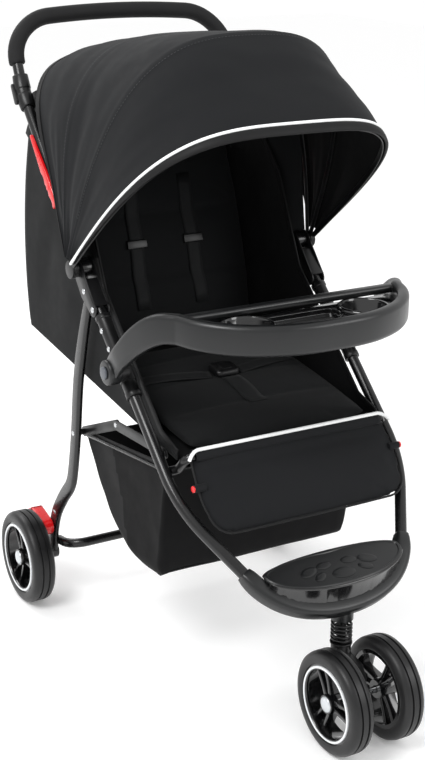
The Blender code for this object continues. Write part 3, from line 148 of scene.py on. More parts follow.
# %% Lamps
def lamp(name, place, target, size, power):
    """A soft square lamp that faces its target."""
    data = bpy.data.lights.new(name, "AREA")
    data.size = size
    data.energy = power
    made = bpy.data.objects.new(name, data)
    bpy.context.scene.collection.objects.link(made)
    made.location = place
    made.rotation_euler = (Vector(target) - Vector(place)).to_track_quat("-Z", "Y").to_euler()


lamp("lamp_above_left", (-1.7, -0.7, 2.5), (0, 0, 0.6), 1.1, 42)
lamp("lamp_front_right", (1.6, -2.2, 1.7), (0, 0, 0.5), 1.2, 22)
lamp("lamp_behind", (-0.6, 2.2, 2.4), (0, 0, 0.7), 1.4, 26)
print("lamps", len(bpy.data.lights))

# %% [markdown]
# Materials and node trees are wired through one helper. It adds a node, sets what it is told by name, and
# links whatever nodes it is given, which keeps each tree a few lines long.


# %% Node helper
def feed(tree, node, **values):
    """Gives a node its settings, its inputs' values, and links from other nodes or their outputs."""
    for key, value in values.items():
        if key in node.bl_rna.properties:
            setattr(node, key, value)
            continue
        socket = node.inputs[int(key[1:]) if key[0] == "_" else key.replace("_", " ")]
        if isinstance(value, bpy.types.Node):
            value = value.outputs[0]
        if isinstance(value, bpy.types.NodeSocket):
            tree.links.new(value, socket)
        else:
            socket.default_value = value
    return node


def add(tree, kind, **values):
    """A new node with its settings, values and links."""
    return feed(tree, tree.nodes.new(kind), **values)


# %% World and floor
world = bpy.data.worlds.new("white studio")
bpy.context.scene.world = world
world.use_nodes = True
tree = world.node_tree
tree.nodes.clear()
sky = add(tree, "ShaderNodeBackground", Color=(1.0, 1.0, 1.0, 1.0), Strength=0.90)
backdrop = add(tree, "ShaderNodeBackground", Color=(1.0, 1.0, 1.0, 1.0), Strength=1.02)
seen = add(tree, "ShaderNodeLightPath").outputs
either = add(tree, "ShaderNodeMath", operation="MAXIMUM", _0=seen["Is Camera Ray"], _1=seen["Is Transmission Ray"])
add(tree, "ShaderNodeOutputWorld", Surface=add(tree, "ShaderNodeMixShader", _0=either, _1=sky, _2=backdrop))


def linear(code):
    """An sRGB colour such as 3b3e41 as linear values."""
    parts = [int(code[i:i + 2], 16) / 255 for i in (0, 2, 4)]
    return (*[p / 12.92 if p <= 0.04045 else ((p + 0.055) / 1.055) ** 2.4 for p in parts], 1.0)


bpy.ops.mesh.primitive_plane_add(size=14.0, location=(0, 3.0, -0.0005))
floor = bpy.context.object
floor.name = "studio_floor"
paper = bpy.data.materials.new("white paper floor")
paper.use_nodes = True
feed(paper.node_tree, paper.node_tree.nodes["Principled BSDF"], Base_Color=linear("fbfbfb"), Roughness=0.9,
     Specular_IOR_Level=0.1, Emission_Color=(1.0, 1.0, 1.0, 1.0), Emission_Strength=0.12)
floor.data.materials.append(paper)
print("floor", floor.name, "under", world.name)

# %% [markdown]
# ## Materials
#
# Nearly everything is black, so the parts are told apart by gloss and grain: wet-looking paint, satin
# mouldings with a fine spark-eroded grain, dull woven polyester, foam and rubber.


# %% Materials
def finish(name, colour, rough, metal=0.0, specular=0.5, coat=0.0, mottle=0.10, patch=30.0, rough_patch=0.05,
           grain=0.0, grain_scale=900.0, sheen=0.0):
    """A Principled finish: the colour drifts a little, the gloss drifts a little, and a fine bump if asked."""
    made = bpy.data.materials.new(name)
    made.use_nodes = True
    tree = made.node_tree
    place = add(tree, "ShaderNodeTexCoord").outputs["Object"]
    drift = add(tree, "ShaderNodeTexNoise", Vector=place, Scale=patch, Detail=3.0).outputs["Fac"]
    ramp = add(tree, "ShaderNodeMapRange", _0=drift, _1=0.3, _2=0.7, _3=1 - mottle, _4=1 + mottle)
    tint = add(tree, "ShaderNodeVectorMath", operation="SCALE", _0=linear(colour)[:3], Scale=ramp)
    gloss = add(tree, "ShaderNodeMapRange", _0=drift, _1=0.3, _2=0.7, _3=max(0.02, rough - rough_patch),
                _4=rough + rough_patch)
    shader = feed(tree, tree.nodes["Principled BSDF"], Base_Color=tint, Roughness=gloss, Metallic=metal,
                  Specular_IOR_Level=specular, Coat_Weight=coat, Coat_Roughness=0.08, Sheen_Weight=sheen,
                  Sheen_Roughness=0.5)
    if grain:
        specks = add(tree, "ShaderNodeTexNoise", Vector=place, Scale=grain_scale, Detail=2.0).outputs["Fac"]
        feed(tree, shader, Normal=add(tree, "ShaderNodeBump", Strength=grain, Distance=0.0004, Height=specks))
    return made


def woven(name, colour, thread, strength, rough=0.82, sheen=0.25, specular=0.25, holes=0.0):
    """Plain-woven cloth on UVs in metres: two crossed sets of threads, and slubs that tint it along them."""
    made = finish(name, colour, rough, specular=specular, mottle=0.12, patch=55.0, sheen=sheen)
    tree = made.node_tree
    shader = tree.nodes["Principled BSDF"]
    split = add(tree, "ShaderNodeSeparateXYZ", _0=add(tree, "ShaderNodeUVMap", uv_map="UVMap"))
    waves = []
    for axis in "XY":
        run = add(tree, "ShaderNodeMath", operation="MULTIPLY", _0=split.outputs[axis], _1=2 * math.pi / thread)
        waves.append(add(tree, "ShaderNodeMath", operation="SINE", _0=run))
    cross = add(tree, "ShaderNodeMath", operation="MULTIPLY", _0=waves[0], _1=waves[1])
    feed(tree, shader, Normal=add(tree, "ShaderNodeBump", Strength=strength, Distance=thread * 0.25, Height=cross))
    if holes:
        # A net lets light through between its threads
        sizes = [add(tree, "ShaderNodeMath", operation="ABSOLUTE", _0=wave) for wave in waves]
        most = add(tree, "ShaderNodeMath", operation="MINIMUM", _0=sizes[0], _1=sizes[1])
        feed(tree, shader, Alpha=add(tree, "ShaderNodeMapRange", _0=most, _1=holes, _2=holes + 0.15, _3=1.0, _4=0.25))
    return made


PAINT = finish("black powder-coated steel tube", "0c0c0d", 0.27, specular=0.42, coat=0.12, mottle=0.06)
SATIN = finish("dark grey moulded polypropylene", "131415", 0.33, specular=0.45, mottle=0.06, grain=0.25,
               grain_scale=700.0)
MOULDED = finish("black moulded nylon", "0e0e0f", 0.36, specular=0.38, mottle=0.08, grain=0.15)
GLOSSY = finish("gloss black ABS", "0d0d0e", 0.13, coat=0.5, mottle=0.05, rough_patch=0.02)
# The cloth is 600 denier polyester: its 0.5 mm threads are too fine to show here, so they are 1.3 mm
CLOTH = woven("charcoal woven polyester", "141517", 0.0013, 0.30, sheen=0.03, specular=0.18)
SEAT_CLOTH = woven("black woven polyester", "101112", 0.0014, 0.35, sheen=0.03, specular=0.16)
LINING = woven("black polyester lining", "0a0a0b", 0.0013, 0.15, sheen=0.02, specular=0.15)
NETTING = woven("black polyester net", "111112", 0.0040, 0.5, sheen=0.03, holes=0.35)
WEBBING = woven("black ribbed webbing", "101112", 0.0016, 0.5, rough=0.7, sheen=0.03, specular=0.22)
PIPING = finish("white polyester piping", "eceded", 0.6, specular=0.3, mottle=0.03)
BINDING = finish("black polyester binding tape", "0f0f10", 0.6, specular=0.25, mottle=0.08)
THREAD = finish("black sewing thread", "2c2d2f", 0.6, mottle=0.05)
FOAM = finish("black EVA foam", "141415", 0.75, specular=0.3, grain=0.6, grain_scale=1500.0)
RUBBER = finish("black EVA tyre", "131314", 0.42, specular=0.4, grain=0.2, grain_scale=1100.0)
WHITE_RIM = finish("white moulded rim ring", "e6e8ea", 0.35, mottle=0.03)
SILVER = finish("silver painted hub cap", "cdd0d3", 0.3, metal=0.4, mottle=0.04)
STEEL = finish("zinc-plated steel", "c9cbcd", 0.25, metal=1.0, mottle=0.04)
SPRING_STEEL = finish("black phosphated spring steel", "161617", 0.30, metal=0.3)
RED = finish("red moulded nylon", "d81419", 0.28, coat=0.3, mottle=0.04)
GREY = finish("mid grey moulded button", "4c5056", 0.4, mottle=0.05)
SLOT_OF = {made.name: slot for slot, group in (
    ("black_painted_steel", (PAINT,)), ("dark_grey_plastic", (SATIN, MOULDED, GLOSSY)), ("red_plastic", (RED,)),
    ("charcoal_polyester", (CLOTH, SEAT_CLOTH, LINING, BINDING, THREAD)), ("black_webbing", (WEBBING,)),
    ("black_foam", (FOAM,)), ("tyre_rubber", (RUBBER,)), ("grey_button_plastic", (GREY,)),
    ("zinc_plated_steel", (STEEL, SPRING_STEEL, SILVER))) for made in group}
print("materials", len(bpy.data.materials))

# %% [markdown]
# ## Shape helpers
#
# Points are written from the rear axle, and `put` moves the finished mesh into the shared frame. Each piece
# then rides its CAD body and hides the CAD nodes that it stands for.


# %% Finished pieces
def put(name, shape, material, body=None, slot="", nodes=None, angle=38.0, weld=0.000002):
    """A bmesh from the rear axle's frame becomes a finished piece."""
    if weld:
        bmesh.ops.remove_doubles(shape, verts=shape.verts, dist=weld)
    bmesh.ops.translate(shape, verts=shape.verts, vec=(0, AXLE_Y, 0))
    data = bpy.data.meshes.new(name)
    shape.to_mesh(data)
    shape.free()
    data.shade_smooth()
    data.set_sharp_from_angle(angle=math.radians(angle))
    for one in (material if isinstance(material, (list, tuple)) else (material,)):
        data.materials.append(one)
    made = bpy.data.objects.new(name, data)
    bpy.context.scene.collection.objects.link(made)
    if body:
        settle(made, body, slot, nodes)
    return made


def settle(made, body, slot="", nodes=None):
    """The piece rides its body and hides the CAD nodes that it stands for; a name that ends in _v stands for the CAD
    node named before it. A slot is worked out from the material, but nothing uses it.
    """
    if body:
        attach(made, body)
    if slot == "":
        slot = SLOT_OF.get(next(m for m in made.data.materials if m).name)
    if nodes is None:
        nodes = [made.name[:-2]] if made.name.endswith("_v") else []
    if nodes:
        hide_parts(*nodes)


def applied(made):
    """Works out the modifiers once and keeps the result as the mesh."""
    graph = bpy.context.evaluated_depsgraph_get()
    done = bpy.data.meshes.new_from_object(made.evaluated_get(graph))
    made.modifiers.clear()
    old, made.data = made.data, done
    name = old.name
    bpy.data.meshes.remove(old)
    done.name = name
    return made


print("slots", len(set(SLOT_OF.values())))

# %% [markdown]
# A bent tube is straight runs with rounded corners, and a sewn edge is a smooth curve. Blender's curve
# objects could carry both, but points in a list can be measured, mirrored and used again.


# %% Routes and sections
def mirrored(points):
    """The points' mirror images, last first, so that half a line can go on as a whole one."""
    return [at(-p.x, p.y, p.z) for p in reversed(points)]


def fillet(points, radii, steps=10):
    """A route through the points with every inner corner rounded to its radius."""
    route = [Vector(points[0])]
    for corner, before, after, radius in zip(points[1:-1], points[:-2], points[2:], radii):
        corner = Vector(corner)
        a, b = (Vector(before) - corner).normalized(), (Vector(after) - corner).normalized()
        bend = math.pi - a.angle(b)
        centre = corner + (a + b).normalized() * (radius / math.cos(bend / 2))
        first = corner + a * radius * math.tan(bend / 2) - centre
        last = corner + b * radius * math.tan(bend / 2) - centre
        axis = first.cross(last).normalized()
        route += [centre + Matrix.Rotation(bend * i / steps, 3, axis) @ first for i in range(steps + 1)]
    return route + [Vector(points[-1])]


def curve(points, steps=8):
    """A Catmull-Rom curve through the points."""
    route, last = [], len(points) - 1
    for i in range(last):
        a, b = Vector(points[max(i - 1, 0)]), Vector(points[i])
        c, d = Vector(points[i + 1]), Vector(points[min(i + 2, last)])
        for step in range(steps):
            t = step / steps
            route.append(0.5 * (2 * b + (c - a) * t + (2 * a - 5 * b + 4 * c - d) * t * t
                                + (3 * b - a - 3 * c + d) * t ** 3))
    return route + [Vector(points[-1])]


def disc(radius, sides=28):
    """A circle as a section."""
    return [(radius * math.cos(2 * math.pi * i / sides), radius * math.sin(2 * math.pi * i / sides))
            for i in range(sides)]


def slab(half_u, half_v, corner, steps=5):
    """A rounded rectangle as a section."""
    points = []
    for su, sv, first in ((1, 1, 0), (-1, 1, 90), (-1, -1, 180), (1, -1, 270)):
        for i in range(steps + 1):
            a = math.radians(first + 90 * i / steps)
            points.append((su * (half_u - corner) + corner * math.cos(a),
                           sv * (half_v - corner) + corner * math.sin(a)))
    return points


print("a rounded section has", len(slab(2, 1, 0.5)), "points")


# %% Swept solids
def skin(rings, caps=True, shape=None):
    """A closed solid through rings of equal count, added to `shape` if given."""
    shape = shape or bmesh.new()
    rows = [[shape.verts.new(p) for p in ring] for ring in rings]
    count = len(rows[0])
    for a, b in zip(rows[:-1], rows[1:]):
        for i in range(count):
            shape.faces.new((a[i], a[(i + 1) % count], b[(i + 1) % count], b[i]))
    if caps:
        shape.faces.new(rows[0])
        shape.faces.new(list(reversed(rows[-1])))
    bmesh.ops.recalc_face_normals(shape, faces=shape.faces)
    return shape


def sweep(route, section, side=None, shape=None, closed=False, soft=0.0):
    """A section, or one per point, carried along the route; `soft` rounds the two ends."""
    count = len(route)
    lines = [((route[(i + 1) % count] if closed else route[min(i + 1, count - 1)])
              - (route[i - 1] if closed else route[max(i - 1, 0)])).normalized() for i in range(count)]
    sections = section if isinstance(section[0], list) else [section] * count
    across = Vector(side) if side else lines[0].orthogonal()
    rings = []
    for i, point in enumerate(route):
        if i and not side:
            across = lines[i - 1].rotation_difference(lines[i]) @ across
        up = lines[i].cross(across).normalized()
        level = up.cross(lines[i]).normalized()
        rings.append([point + u * up + v * level for u, v in sections[i]])
    if soft and not closed:
        for end, line in ((0, -lines[0]), (-1, lines[-1])):
            ring = rings[end]
            middle = sum(ring, Vector()) / len(ring)
            reach = max((p - middle).length for p in ring)
            extra = []
            for share in (0.35, 0.7, 1.0):
                drop = soft * share
                size = 1 - (soft / reach) * (1 - math.sqrt(max(0.0, 1 - share * share)))
                extra.append([middle + (p - middle) * size + line * (drop - soft) for p in ring])
            rings = list(reversed(extra)) + rings[1:] if end == 0 else rings[:-1] + extra
    if closed:
        return skin(rings + [rings[0]], False, shape)
    return skin(rings, True, shape)


# %% Turned solids
def lathe(profile, place, sides=64, shape=None, closed=True):
    """Turns (along, radius) points about the local X axis of a placing matrix."""
    shape = shape or bmesh.new()
    rings = []
    for i in range(sides):
        a = 2 * math.pi * i / sides
        rings.append([shape.verts.new(place @ at(t, r * math.cos(a), r * math.sin(a))) for t, r in profile])
    count = len(profile)
    for i in range(sides):
        here, there = rings[i], rings[(i + 1) % sides]
        for k in range(count if closed else count - 1):
            m = (k + 1) % count
            corners = [here[k], here[m], there[m], there[k]]
            if (corners[0].co - corners[3].co).length < 1e-7:
                corners = [here[k], here[m], there[m]]
            elif (corners[1].co - corners[2].co).length < 1e-7:
                corners = [here[k], here[m], there[k]]
            shape.faces.new(corners)
    return shape


def turned(profile, place, sides=64, shape=None):
    """A lathe solid whose profile starts and ends on the axis; double points are welded."""
    shape = shape or bmesh.new()
    part = lathe(profile, place, sides, None, closed=False)
    bmesh.ops.remove_doubles(part, verts=part.verts, dist=0.000002)
    bmesh.ops.recalc_face_normals(part, faces=part.faces)
    spare = bpy.data.meshes.new("spare")
    part.to_mesh(spare)
    part.free()
    shape.from_mesh(spare)
    bpy.data.meshes.remove(spare)
    return shape


def pin(start, end, radius, edge=0.0008, sides=40, shape=None):
    """A round bar from start to end with rounded rims."""
    start, end = Vector(start), Vector(end)
    line = end - start
    place = Matrix.Translation(start) @ X.rotation_difference(line).to_matrix().to_4x4()
    long = line.length
    edge = min(edge, radius * 0.9, long * 0.4)
    profile = [(0, 0)]
    profile += [(edge * (1 - math.sin(a)), radius - edge * (1 - math.cos(a)))
                for a in (math.pi / 2, math.pi / 3, math.pi / 6, 0)]
    profile += [(long - edge * (1 - math.sin(a)), radius - edge * (1 - math.cos(a)))
                for a in (0, math.pi / 6, math.pi / 3, math.pi / 2)]
    return turned(profile + [(long, 0)], place, sides, shape)


def cross_pin(x_from, x_to, place, radius, edge=0.0008, sides=40, shape=None):
    """A round bar across the stroller, through a (y, z) place."""
    y, z = place[-2:]
    return pin((x_from, y, z), (x_to, y, z), radius, edge, sides, shape)


# %% Plates
def hull(circles, samples=40):
    """The outline that a belt round the circles takes, as (y, z) points."""
    points = sorted({(round(y + r * math.cos(2 * math.pi * i / samples), 7),
                      round(z + r * math.sin(2 * math.pi * i / samples), 7))
                     for y, z, r in circles for i in range(samples)})

    def half(ordered):
        kept = []
        for p in ordered:
            while len(kept) > 1:
                a, b = kept[-1], kept[-2]
                if (a[0] - b[0]) * (p[1] - b[1]) - (a[1] - b[1]) * (p[0] - b[0]) > 1e-12:
                    break
                kept.pop()
            kept.append(p)
        return kept[:-1]

    return half(points) + half(points[::-1])


def block(outline, x_from, x_to, edge=0.0010, shape=None):
    """A plate from a (y, z) outline with softly rounded rims; the outline is drawn in along its normals."""
    count = len(outline)
    turn = sum(outline[i][0] * outline[(i + 1) % count][1] - outline[(i + 1) % count][0] * outline[i][1]
               for i in range(count))
    sense = 1 if turn > 0 else -1
    normals = []
    for i in range(count):
        ay, az = outline[i - 1]
        by, bz = outline[(i + 1) % count]
        size = math.hypot(by - ay, bz - az) or 1.0
        normals.append((-(bz - az) / size * sense, (by - ay) / size * sense))
    sign = 1 if x_to > x_from else -1
    rings = []
    for start, inward, steps in ((x_from, sign, (2, 1, 0)), (x_to, -sign, (0, 1, 2))):
        for a in [math.pi / 4 * step for step in steps]:
            x = start + inward * edge * (1 - math.sin(a))
            draw = edge * (1 - math.cos(a))
            rings.append([at(x, y + n[0] * draw, z + n[1] * draw) for (y, z), n in zip(outline, normals)])
    return skin(rings, True, shape)


print("a belt round two circles has", len(hull([(0, 0, 1), (3, 0, 0.5)])), "points")


# %% Sheets
def grid_mesh(grid):
    """An open sheet from rows of points, with UVs in metres."""
    shape = bmesh.new()
    layer = shape.loops.layers.uv.verify()
    rows = [[shape.verts.new(p) for p in row] for row in grid]
    uvs, up = [], 0.0
    for r, row in enumerate(grid):
        middle = len(row) // 2
        up += (row[middle] - grid[r - 1][middle]).length if r else 0.0
        run, line = 0.0, []
        for c, p in enumerate(row):
            run += (p - row[c - 1]).length if c else 0.0
            line.append((run, up))
        uvs.append(line)
    for r in range(len(rows) - 1):
        for c in range(len(rows[0]) - 1):
            corners = ((r, c), (r, c + 1), (r + 1, c + 1), (r + 1, c))
            face = shape.faces.new([rows[a][b] for a, b in corners])
            for loop, (a, b) in zip(face.loops, corners):
                loop[layer].uv = uvs[a][b]
    return shape


def thick_sheet(name, grid, material, thick, out=-1.0):
    """A sheet with two faces: the grid is its outer face when out is -1."""
    made = put(name, grid_mesh(grid), material, angle=60, weld=0)
    wall = made.modifiers.new("wall", "SOLIDIFY")
    wall.thickness, wall.offset = thick, out
    wall.material_offset = 1 if isinstance(material, (list, tuple)) and len(material) > 1 else 0
    wall.material_offset_rim = 0
    return applied(made)


print("sheets ready")

# %% [markdown]
# ## What repeats
#
# Four node trees make everything that repeats: rivet heads on points, stitches along a seam, spokes about
# an axle and the suspension's coil. Their inputs are named, and the result becomes a plain mesh.


# %% Node trees for what repeats
def tree_with(name, inputs):
    """An empty tree with named inputs, its input node and its output node."""
    tree = bpy.data.node_groups.new(name, "GeometryNodeTree")
    tree.interface.new_socket("Geometry", in_out="INPUT", socket_type="NodeSocketGeometry")
    for label, kind, value in inputs:
        made = tree.interface.new_socket(label, in_out="INPUT", socket_type="NodeSocket" + kind)
        if value is not None:
            made.default_value = value
    tree.interface.new_socket("Geometry", in_out="OUTPUT", socket_type="NodeSocketGeometry")
    return tree, add(tree, "NodeGroupInput"), add(tree, "NodeGroupOutput")


def close(tree, node, given, out):
    """Every tree ends the same way: real geometry, in the material asked for."""
    real = add(tree, "GeometryNodeRealizeInstances", _0=node)
    feed(tree, out, _0=add(tree, "GeometryNodeSetMaterial", Geometry=real, Material=given.outputs["Material"]))
    return tree


def rivet_tree():
    """Domed heads on loose points; the point's line attribute turns each head."""
    tree, given, out = tree_with("rivet heads", [("Radius", "Float", 0.004), ("Height", "Float", 0.002),
                                                 ("Material", "Material", None)])
    ball = add(tree, "GeometryNodeMeshUVSphere", Segments=20, Rings=12)
    radius, height = given.outputs["Radius"], given.outputs["Height"]
    size = add(tree, "ShaderNodeCombineXYZ", _0=radius, _1=radius, _2=height)
    line = add(tree, "GeometryNodeInputNamedAttribute", data_type="FLOAT_VECTOR", Name="line")
    turn = add(tree, "FunctionNodeAlignRotationToVector", axis="Z", Vector=line)
    heads = add(tree, "GeometryNodeInstanceOnPoints", Points=given, Instance=ball, Rotation=turn, Scale=size)
    return close(tree, heads, given, out)


def stitch_tree():
    """Short thread bars along a seam, each turned to lie along it."""
    tree, given, out = tree_with("stitches", [("Pitch", "Float", 0.005), ("Thread", "Float", 0.0005),
                                              ("Share", "Float", 0.62), ("Material", "Material", None)])
    pitch, thread = given.outputs["Pitch"], given.outputs["Thread"]
    line = add(tree, "GeometryNodeMeshToCurve", _0=given)
    points = add(tree, "GeometryNodeCurveToPoints", mode="LENGTH", Curve=line, Length=pitch)
    ball = add(tree, "GeometryNodeMeshUVSphere", Segments=8, Rings=6)
    long = add(tree, "ShaderNodeMath", operation="MULTIPLY", _0=pitch, _1=given.outputs["Share"])
    half = add(tree, "ShaderNodeMath", operation="MULTIPLY", _0=long, _1=0.5)
    size = add(tree, "ShaderNodeCombineXYZ", _0=thread, _1=thread, _2=half)
    turn = add(tree, "FunctionNodeAlignRotationToVector", axis="Z", Vector=points.outputs["Tangent"])
    bars = add(tree, "GeometryNodeInstanceOnPoints", Points=points, Instance=ball, Rotation=turn, Scale=size)
    return close(tree, bars, given, out)


def spoke_tree():
    """Copies of one spoke about the X axis through the object's origin."""
    tree, given, out = tree_with("spokes about an axle", [("Count", "Int", 3), ("Start", "Float", 0.0),
                                                          ("Material", "Material", None)])
    count = given.outputs["Count"]
    seat = add(tree, "GeometryNodePoints", Count=count)
    step = add(tree, "ShaderNodeMath", operation="DIVIDE", _0=2 * math.pi, _1=count)
    angle = add(tree, "ShaderNodeMath", operation="MULTIPLY_ADD", _0=add(tree, "GeometryNodeInputIndex"), _1=step,
                _2=given.outputs["Start"])
    turn = add(tree, "ShaderNodeCombineXYZ", _0=angle)
    spokes = add(tree, "GeometryNodeInstanceOnPoints", Points=seat, Instance=given, Rotation=turn)
    return close(tree, spokes, given, out)


def coil_tree():
    """A round wire wound into a spiral."""
    tree, given, out = tree_with("coil", [("Turns", "Float", 5.0), ("Radius", "Float", 0.0145),
                                          ("Height", "Float", 0.03), ("Wire", "Float", 0.002),
                                          ("Material", "Material", None)])
    turns, radius, height, wire = [given.outputs[label] for label in ("Turns", "Radius", "Height", "Wire")]
    spiral = add(tree, "GeometryNodeCurveSpiral", Resolution=40, Rotations=turns, Start_Radius=radius,
                 End_Radius=radius, Height=height)
    ring = add(tree, "GeometryNodeCurvePrimitiveCircle", Resolution=14, Radius=wire)
    wound = add(tree, "GeometryNodeCurveToMesh", Fill_Caps=True, Curve=spiral, Profile_Curve=ring)
    return close(tree, wound, given, out)


RIVETS, STITCHES, SPOKES, COIL = rivet_tree(), stitch_tree(), spoke_tree(), coil_tree()
print("node trees", len(bpy.data.node_groups))


# %% Growing pieces from the trees
def grown(made, tree, material, **values):
    """Runs a tree on an object: every input is set by its socket's identifier, then the result is kept."""
    modifier = made.modifiers.new(tree.name, "NODES")
    modifier.node_group = tree
    for item in tree.interface.items_tree:
        value = material if item.name == "Material" else values.get(item.name)
        if item.in_out == "INPUT" and value is not None:
            modifier[item.identifier] = value
    made.data.update()
    applied(made).data.shade_smooth()


def plain(name, points, edges=(), place=Matrix.Identity(4)):
    """An object of loose points or a line, for a tree to work on."""
    data = bpy.data.meshes.new(name)
    data.from_pydata([place @ Vector(p) for p in points], list(edges), [])
    made = bpy.data.objects.new(name, data)
    bpy.context.scene.collection.objects.link(made)
    return made


SHIFT = Matrix.Translation((0, AXLE_Y, 0))


def rivets(name, heads, radius, height, body):
    """Heads given as (point, outward line) pairs, one piece for each body."""
    made = plain(name, [p for p, _ in heads], place=SHIFT)
    lines = made.data.attributes.new("line", "FLOAT_VECTOR", "POINT")
    lines.data.foreach_set("vector", [v for _, line in heads for v in Vector(line)])
    grown(made, RIVETS, STEEL, Radius=radius, Height=height)
    settle(made, body)


def stitches(name, line, body, pitch):
    """Thread along a line of points."""
    made = plain(name, line, [(i, i + 1) for i in range(len(line) - 1)], SHIFT)
    grown(made, STITCHES, THREAD, Pitch=pitch, Thread=0.0005, Share=0.62)
    settle(made, body)


print("growers ready for", [tree.name for tree in bpy.data.node_groups])

# %% [markdown]
# ## Frame tubes and the handle
#
# The front tubes run straight down and then bend inwards to the footrest. The handle rises, bends at a
# moulded knuckle and closes over the top in a foam sleeve. Bevelled curve objects could make them, but a
# section swept along rounded corners lets the foam follow the very same line as the tube.

# %% Frame tubes
for word, side in SIDES:
    route = fillet([front_point(side * FRAME_X, 0.038), front_point(side * FRAME_X, 0.395),
                    front_point(side * 0.136, 0.526)], [0.240], 20)
    put("front_tube_" + word + "_v", sweep(route, disc(TUBE_R), OFF_FRONT), PAINT, "frame")


def handle_line(points_by_side, radii):
    """The handle's route, whose top bar rises a little towards its middle."""
    bent = []
    route = fillet(points_by_side + mirrored(points_by_side), radii, 14)
    for a, b in zip(route, route[1:]):
        parts = max(1, round((b - a).length / 0.012))
        bent += [a.lerp(b, i / parts) for i in range(parts)]
    for p in bent + [route[-1]]:
        share = min(1.0, max(0.0, (p.z - HANDLE_BEND.z) / (HANDLE_TOP.z - HANDLE_BEND.z)))
        p.z += share * (0.012 * (1 - (p.x / FRAME_X) ** 2) - 0.006)
    return bent + [route[-1]]


bend, top = FRAME_X * X + HANDLE_BEND, FRAME_X * X + HANDLE_TOP
route = handle_line([FRAME_X * X + MAIN_PIVOT, bend, top], [0.050, 0.070, 0.070, 0.050])
tube = sweep(route, disc(TUBE_R))
for word, side in SIDES:
    cross_pin(side * (FRAME_X - 0.0088), side * (FRAME_X + 0.0088), MAIN_PIVOT, 0.014, shape=tube)
put("handle_tube_v", tube, PAINT, "push_handle", weld=0)
grip_end = bend.lerp(top, 0.40)
route = handle_line([grip_end, top], [0.070, 0.070])
put("handle_grip_v", sweep(route, disc(0.0135, 36), soft=0.003), FOAM, "push_handle")
print("grip sleeve length", round(sum((a - b).length for a, b in zip(route, route[1:])), 3))

# %% [markdown]
# The knuckle is a thick moulded elbow with a small outward lever. A red fold slide lies on the outside of
# each tube: pointed at its top, with three ridges, a round boss and finger scallops along its lower edge.
# Booleans could cut the scallops, but as part of the outline they keep their soft rims.

# %% Knuckles and fold slides
LATCH_MIDDLE, LATCH_LONG, LATCH_HALF = 0.2125, 0.068, 0.0085
for word, side in SIDES:
    across = side * FRAME_X * X
    line = (HANDLE_TOP - HANDLE_BEND).normalized()
    route = fillet([across + HANDLE_BEND - 0.030 * ALONG_HANDLE, across + HANDLE_BEND,
                    across + HANDLE_BEND + 0.030 * line], [0.050], 10)
    # A raised collar lies just inside each end
    collars = (1, 2, len(route) - 2, len(route) - 3)
    sections = [disc(0.0130 + (0.0010 if i in collars else 0.0), 32) for i in range(len(route))]
    elbow = sweep(route, sections, soft=0.002)
    lever = HANDLE_BEND + across
    block(hull([(lever.y - 0.004, lever.z - 0.012, 0.006), (lever.y + 0.010, lever.z + 0.010, 0.0045)]),
          side * (FRAME_X + 0.011), side * (FRAME_X + 0.0165), 0.0015, elbow)
    put("handle_knuckle_" + word + "_v", elbow, MOULDED, "push_handle", weld=0)
    low_edge = []
    for step in range(49):
        t = 0.145 + 0.133 * step / 48
        bite = 0.0034 * abs(math.sin(math.pi * step / 8)) if step < 24 else 0.0
        low_edge.append((t, -LATCH_HALF * min(1.0, 0.20 + (0.278 - t) / 0.085) + bite))
    high_edge = ((0.280, 0.0), (0.278, 0.25), (0.240, 0.66), (0.205, 1), (0.152, 1), (0.147, 0.8), (0.145, 0.45))
    outline = low_edge + [(t, LATCH_HALF * share) for t, share in high_edge]
    rings = []
    for share, draw in ((0, 0.0), (0.55, 0.0), (0.8, 0.0006), (0.95, 0.0015), (1.0, 0.0028)):
        x = side * (FRAME_X + TUBE_R + 0.0004 + 0.005 * share)
        rings.append([handle_point(x, t + (LATCH_MIDDLE - t) * draw / LATCH_LONG, lift * (1 - draw / LATCH_HALF))
                      for t, lift in outline])
    slide = skin(rings)
    mark = side * (FRAME_X + TUBE_R + 0.0046)
    for k in range(3):
        ridge = [handle_point(mark, 0.222 + 0.008 * k, lift) for lift in (-0.003, 0.0, 0.003)]
        sweep(ridge, slab(0.0012, 0.0016, 0.0008), shape=slide)
    boss = handle_point(mark, 0.180)
    pin(boss, boss + side * 0.0014 * X, 0.0052, 0.0006, 32, slide)
    put("fold_latch_" + word + "_v", slide, RED, "fold_latch_" + word, weld=0, angle=50)
print("latch outline points", len(outline))

# %% [markdown]
# ## Hinge, rear legs and braces
#
# Two cheeks a side hold both tubes and the leg. Each is the belt round three circles, as a real cheek runs
# round its three bolts. The legs are flat oval tubes that widen on their way down, so their section changes
# along the sweep, and thin links fold between them and the front tubes.

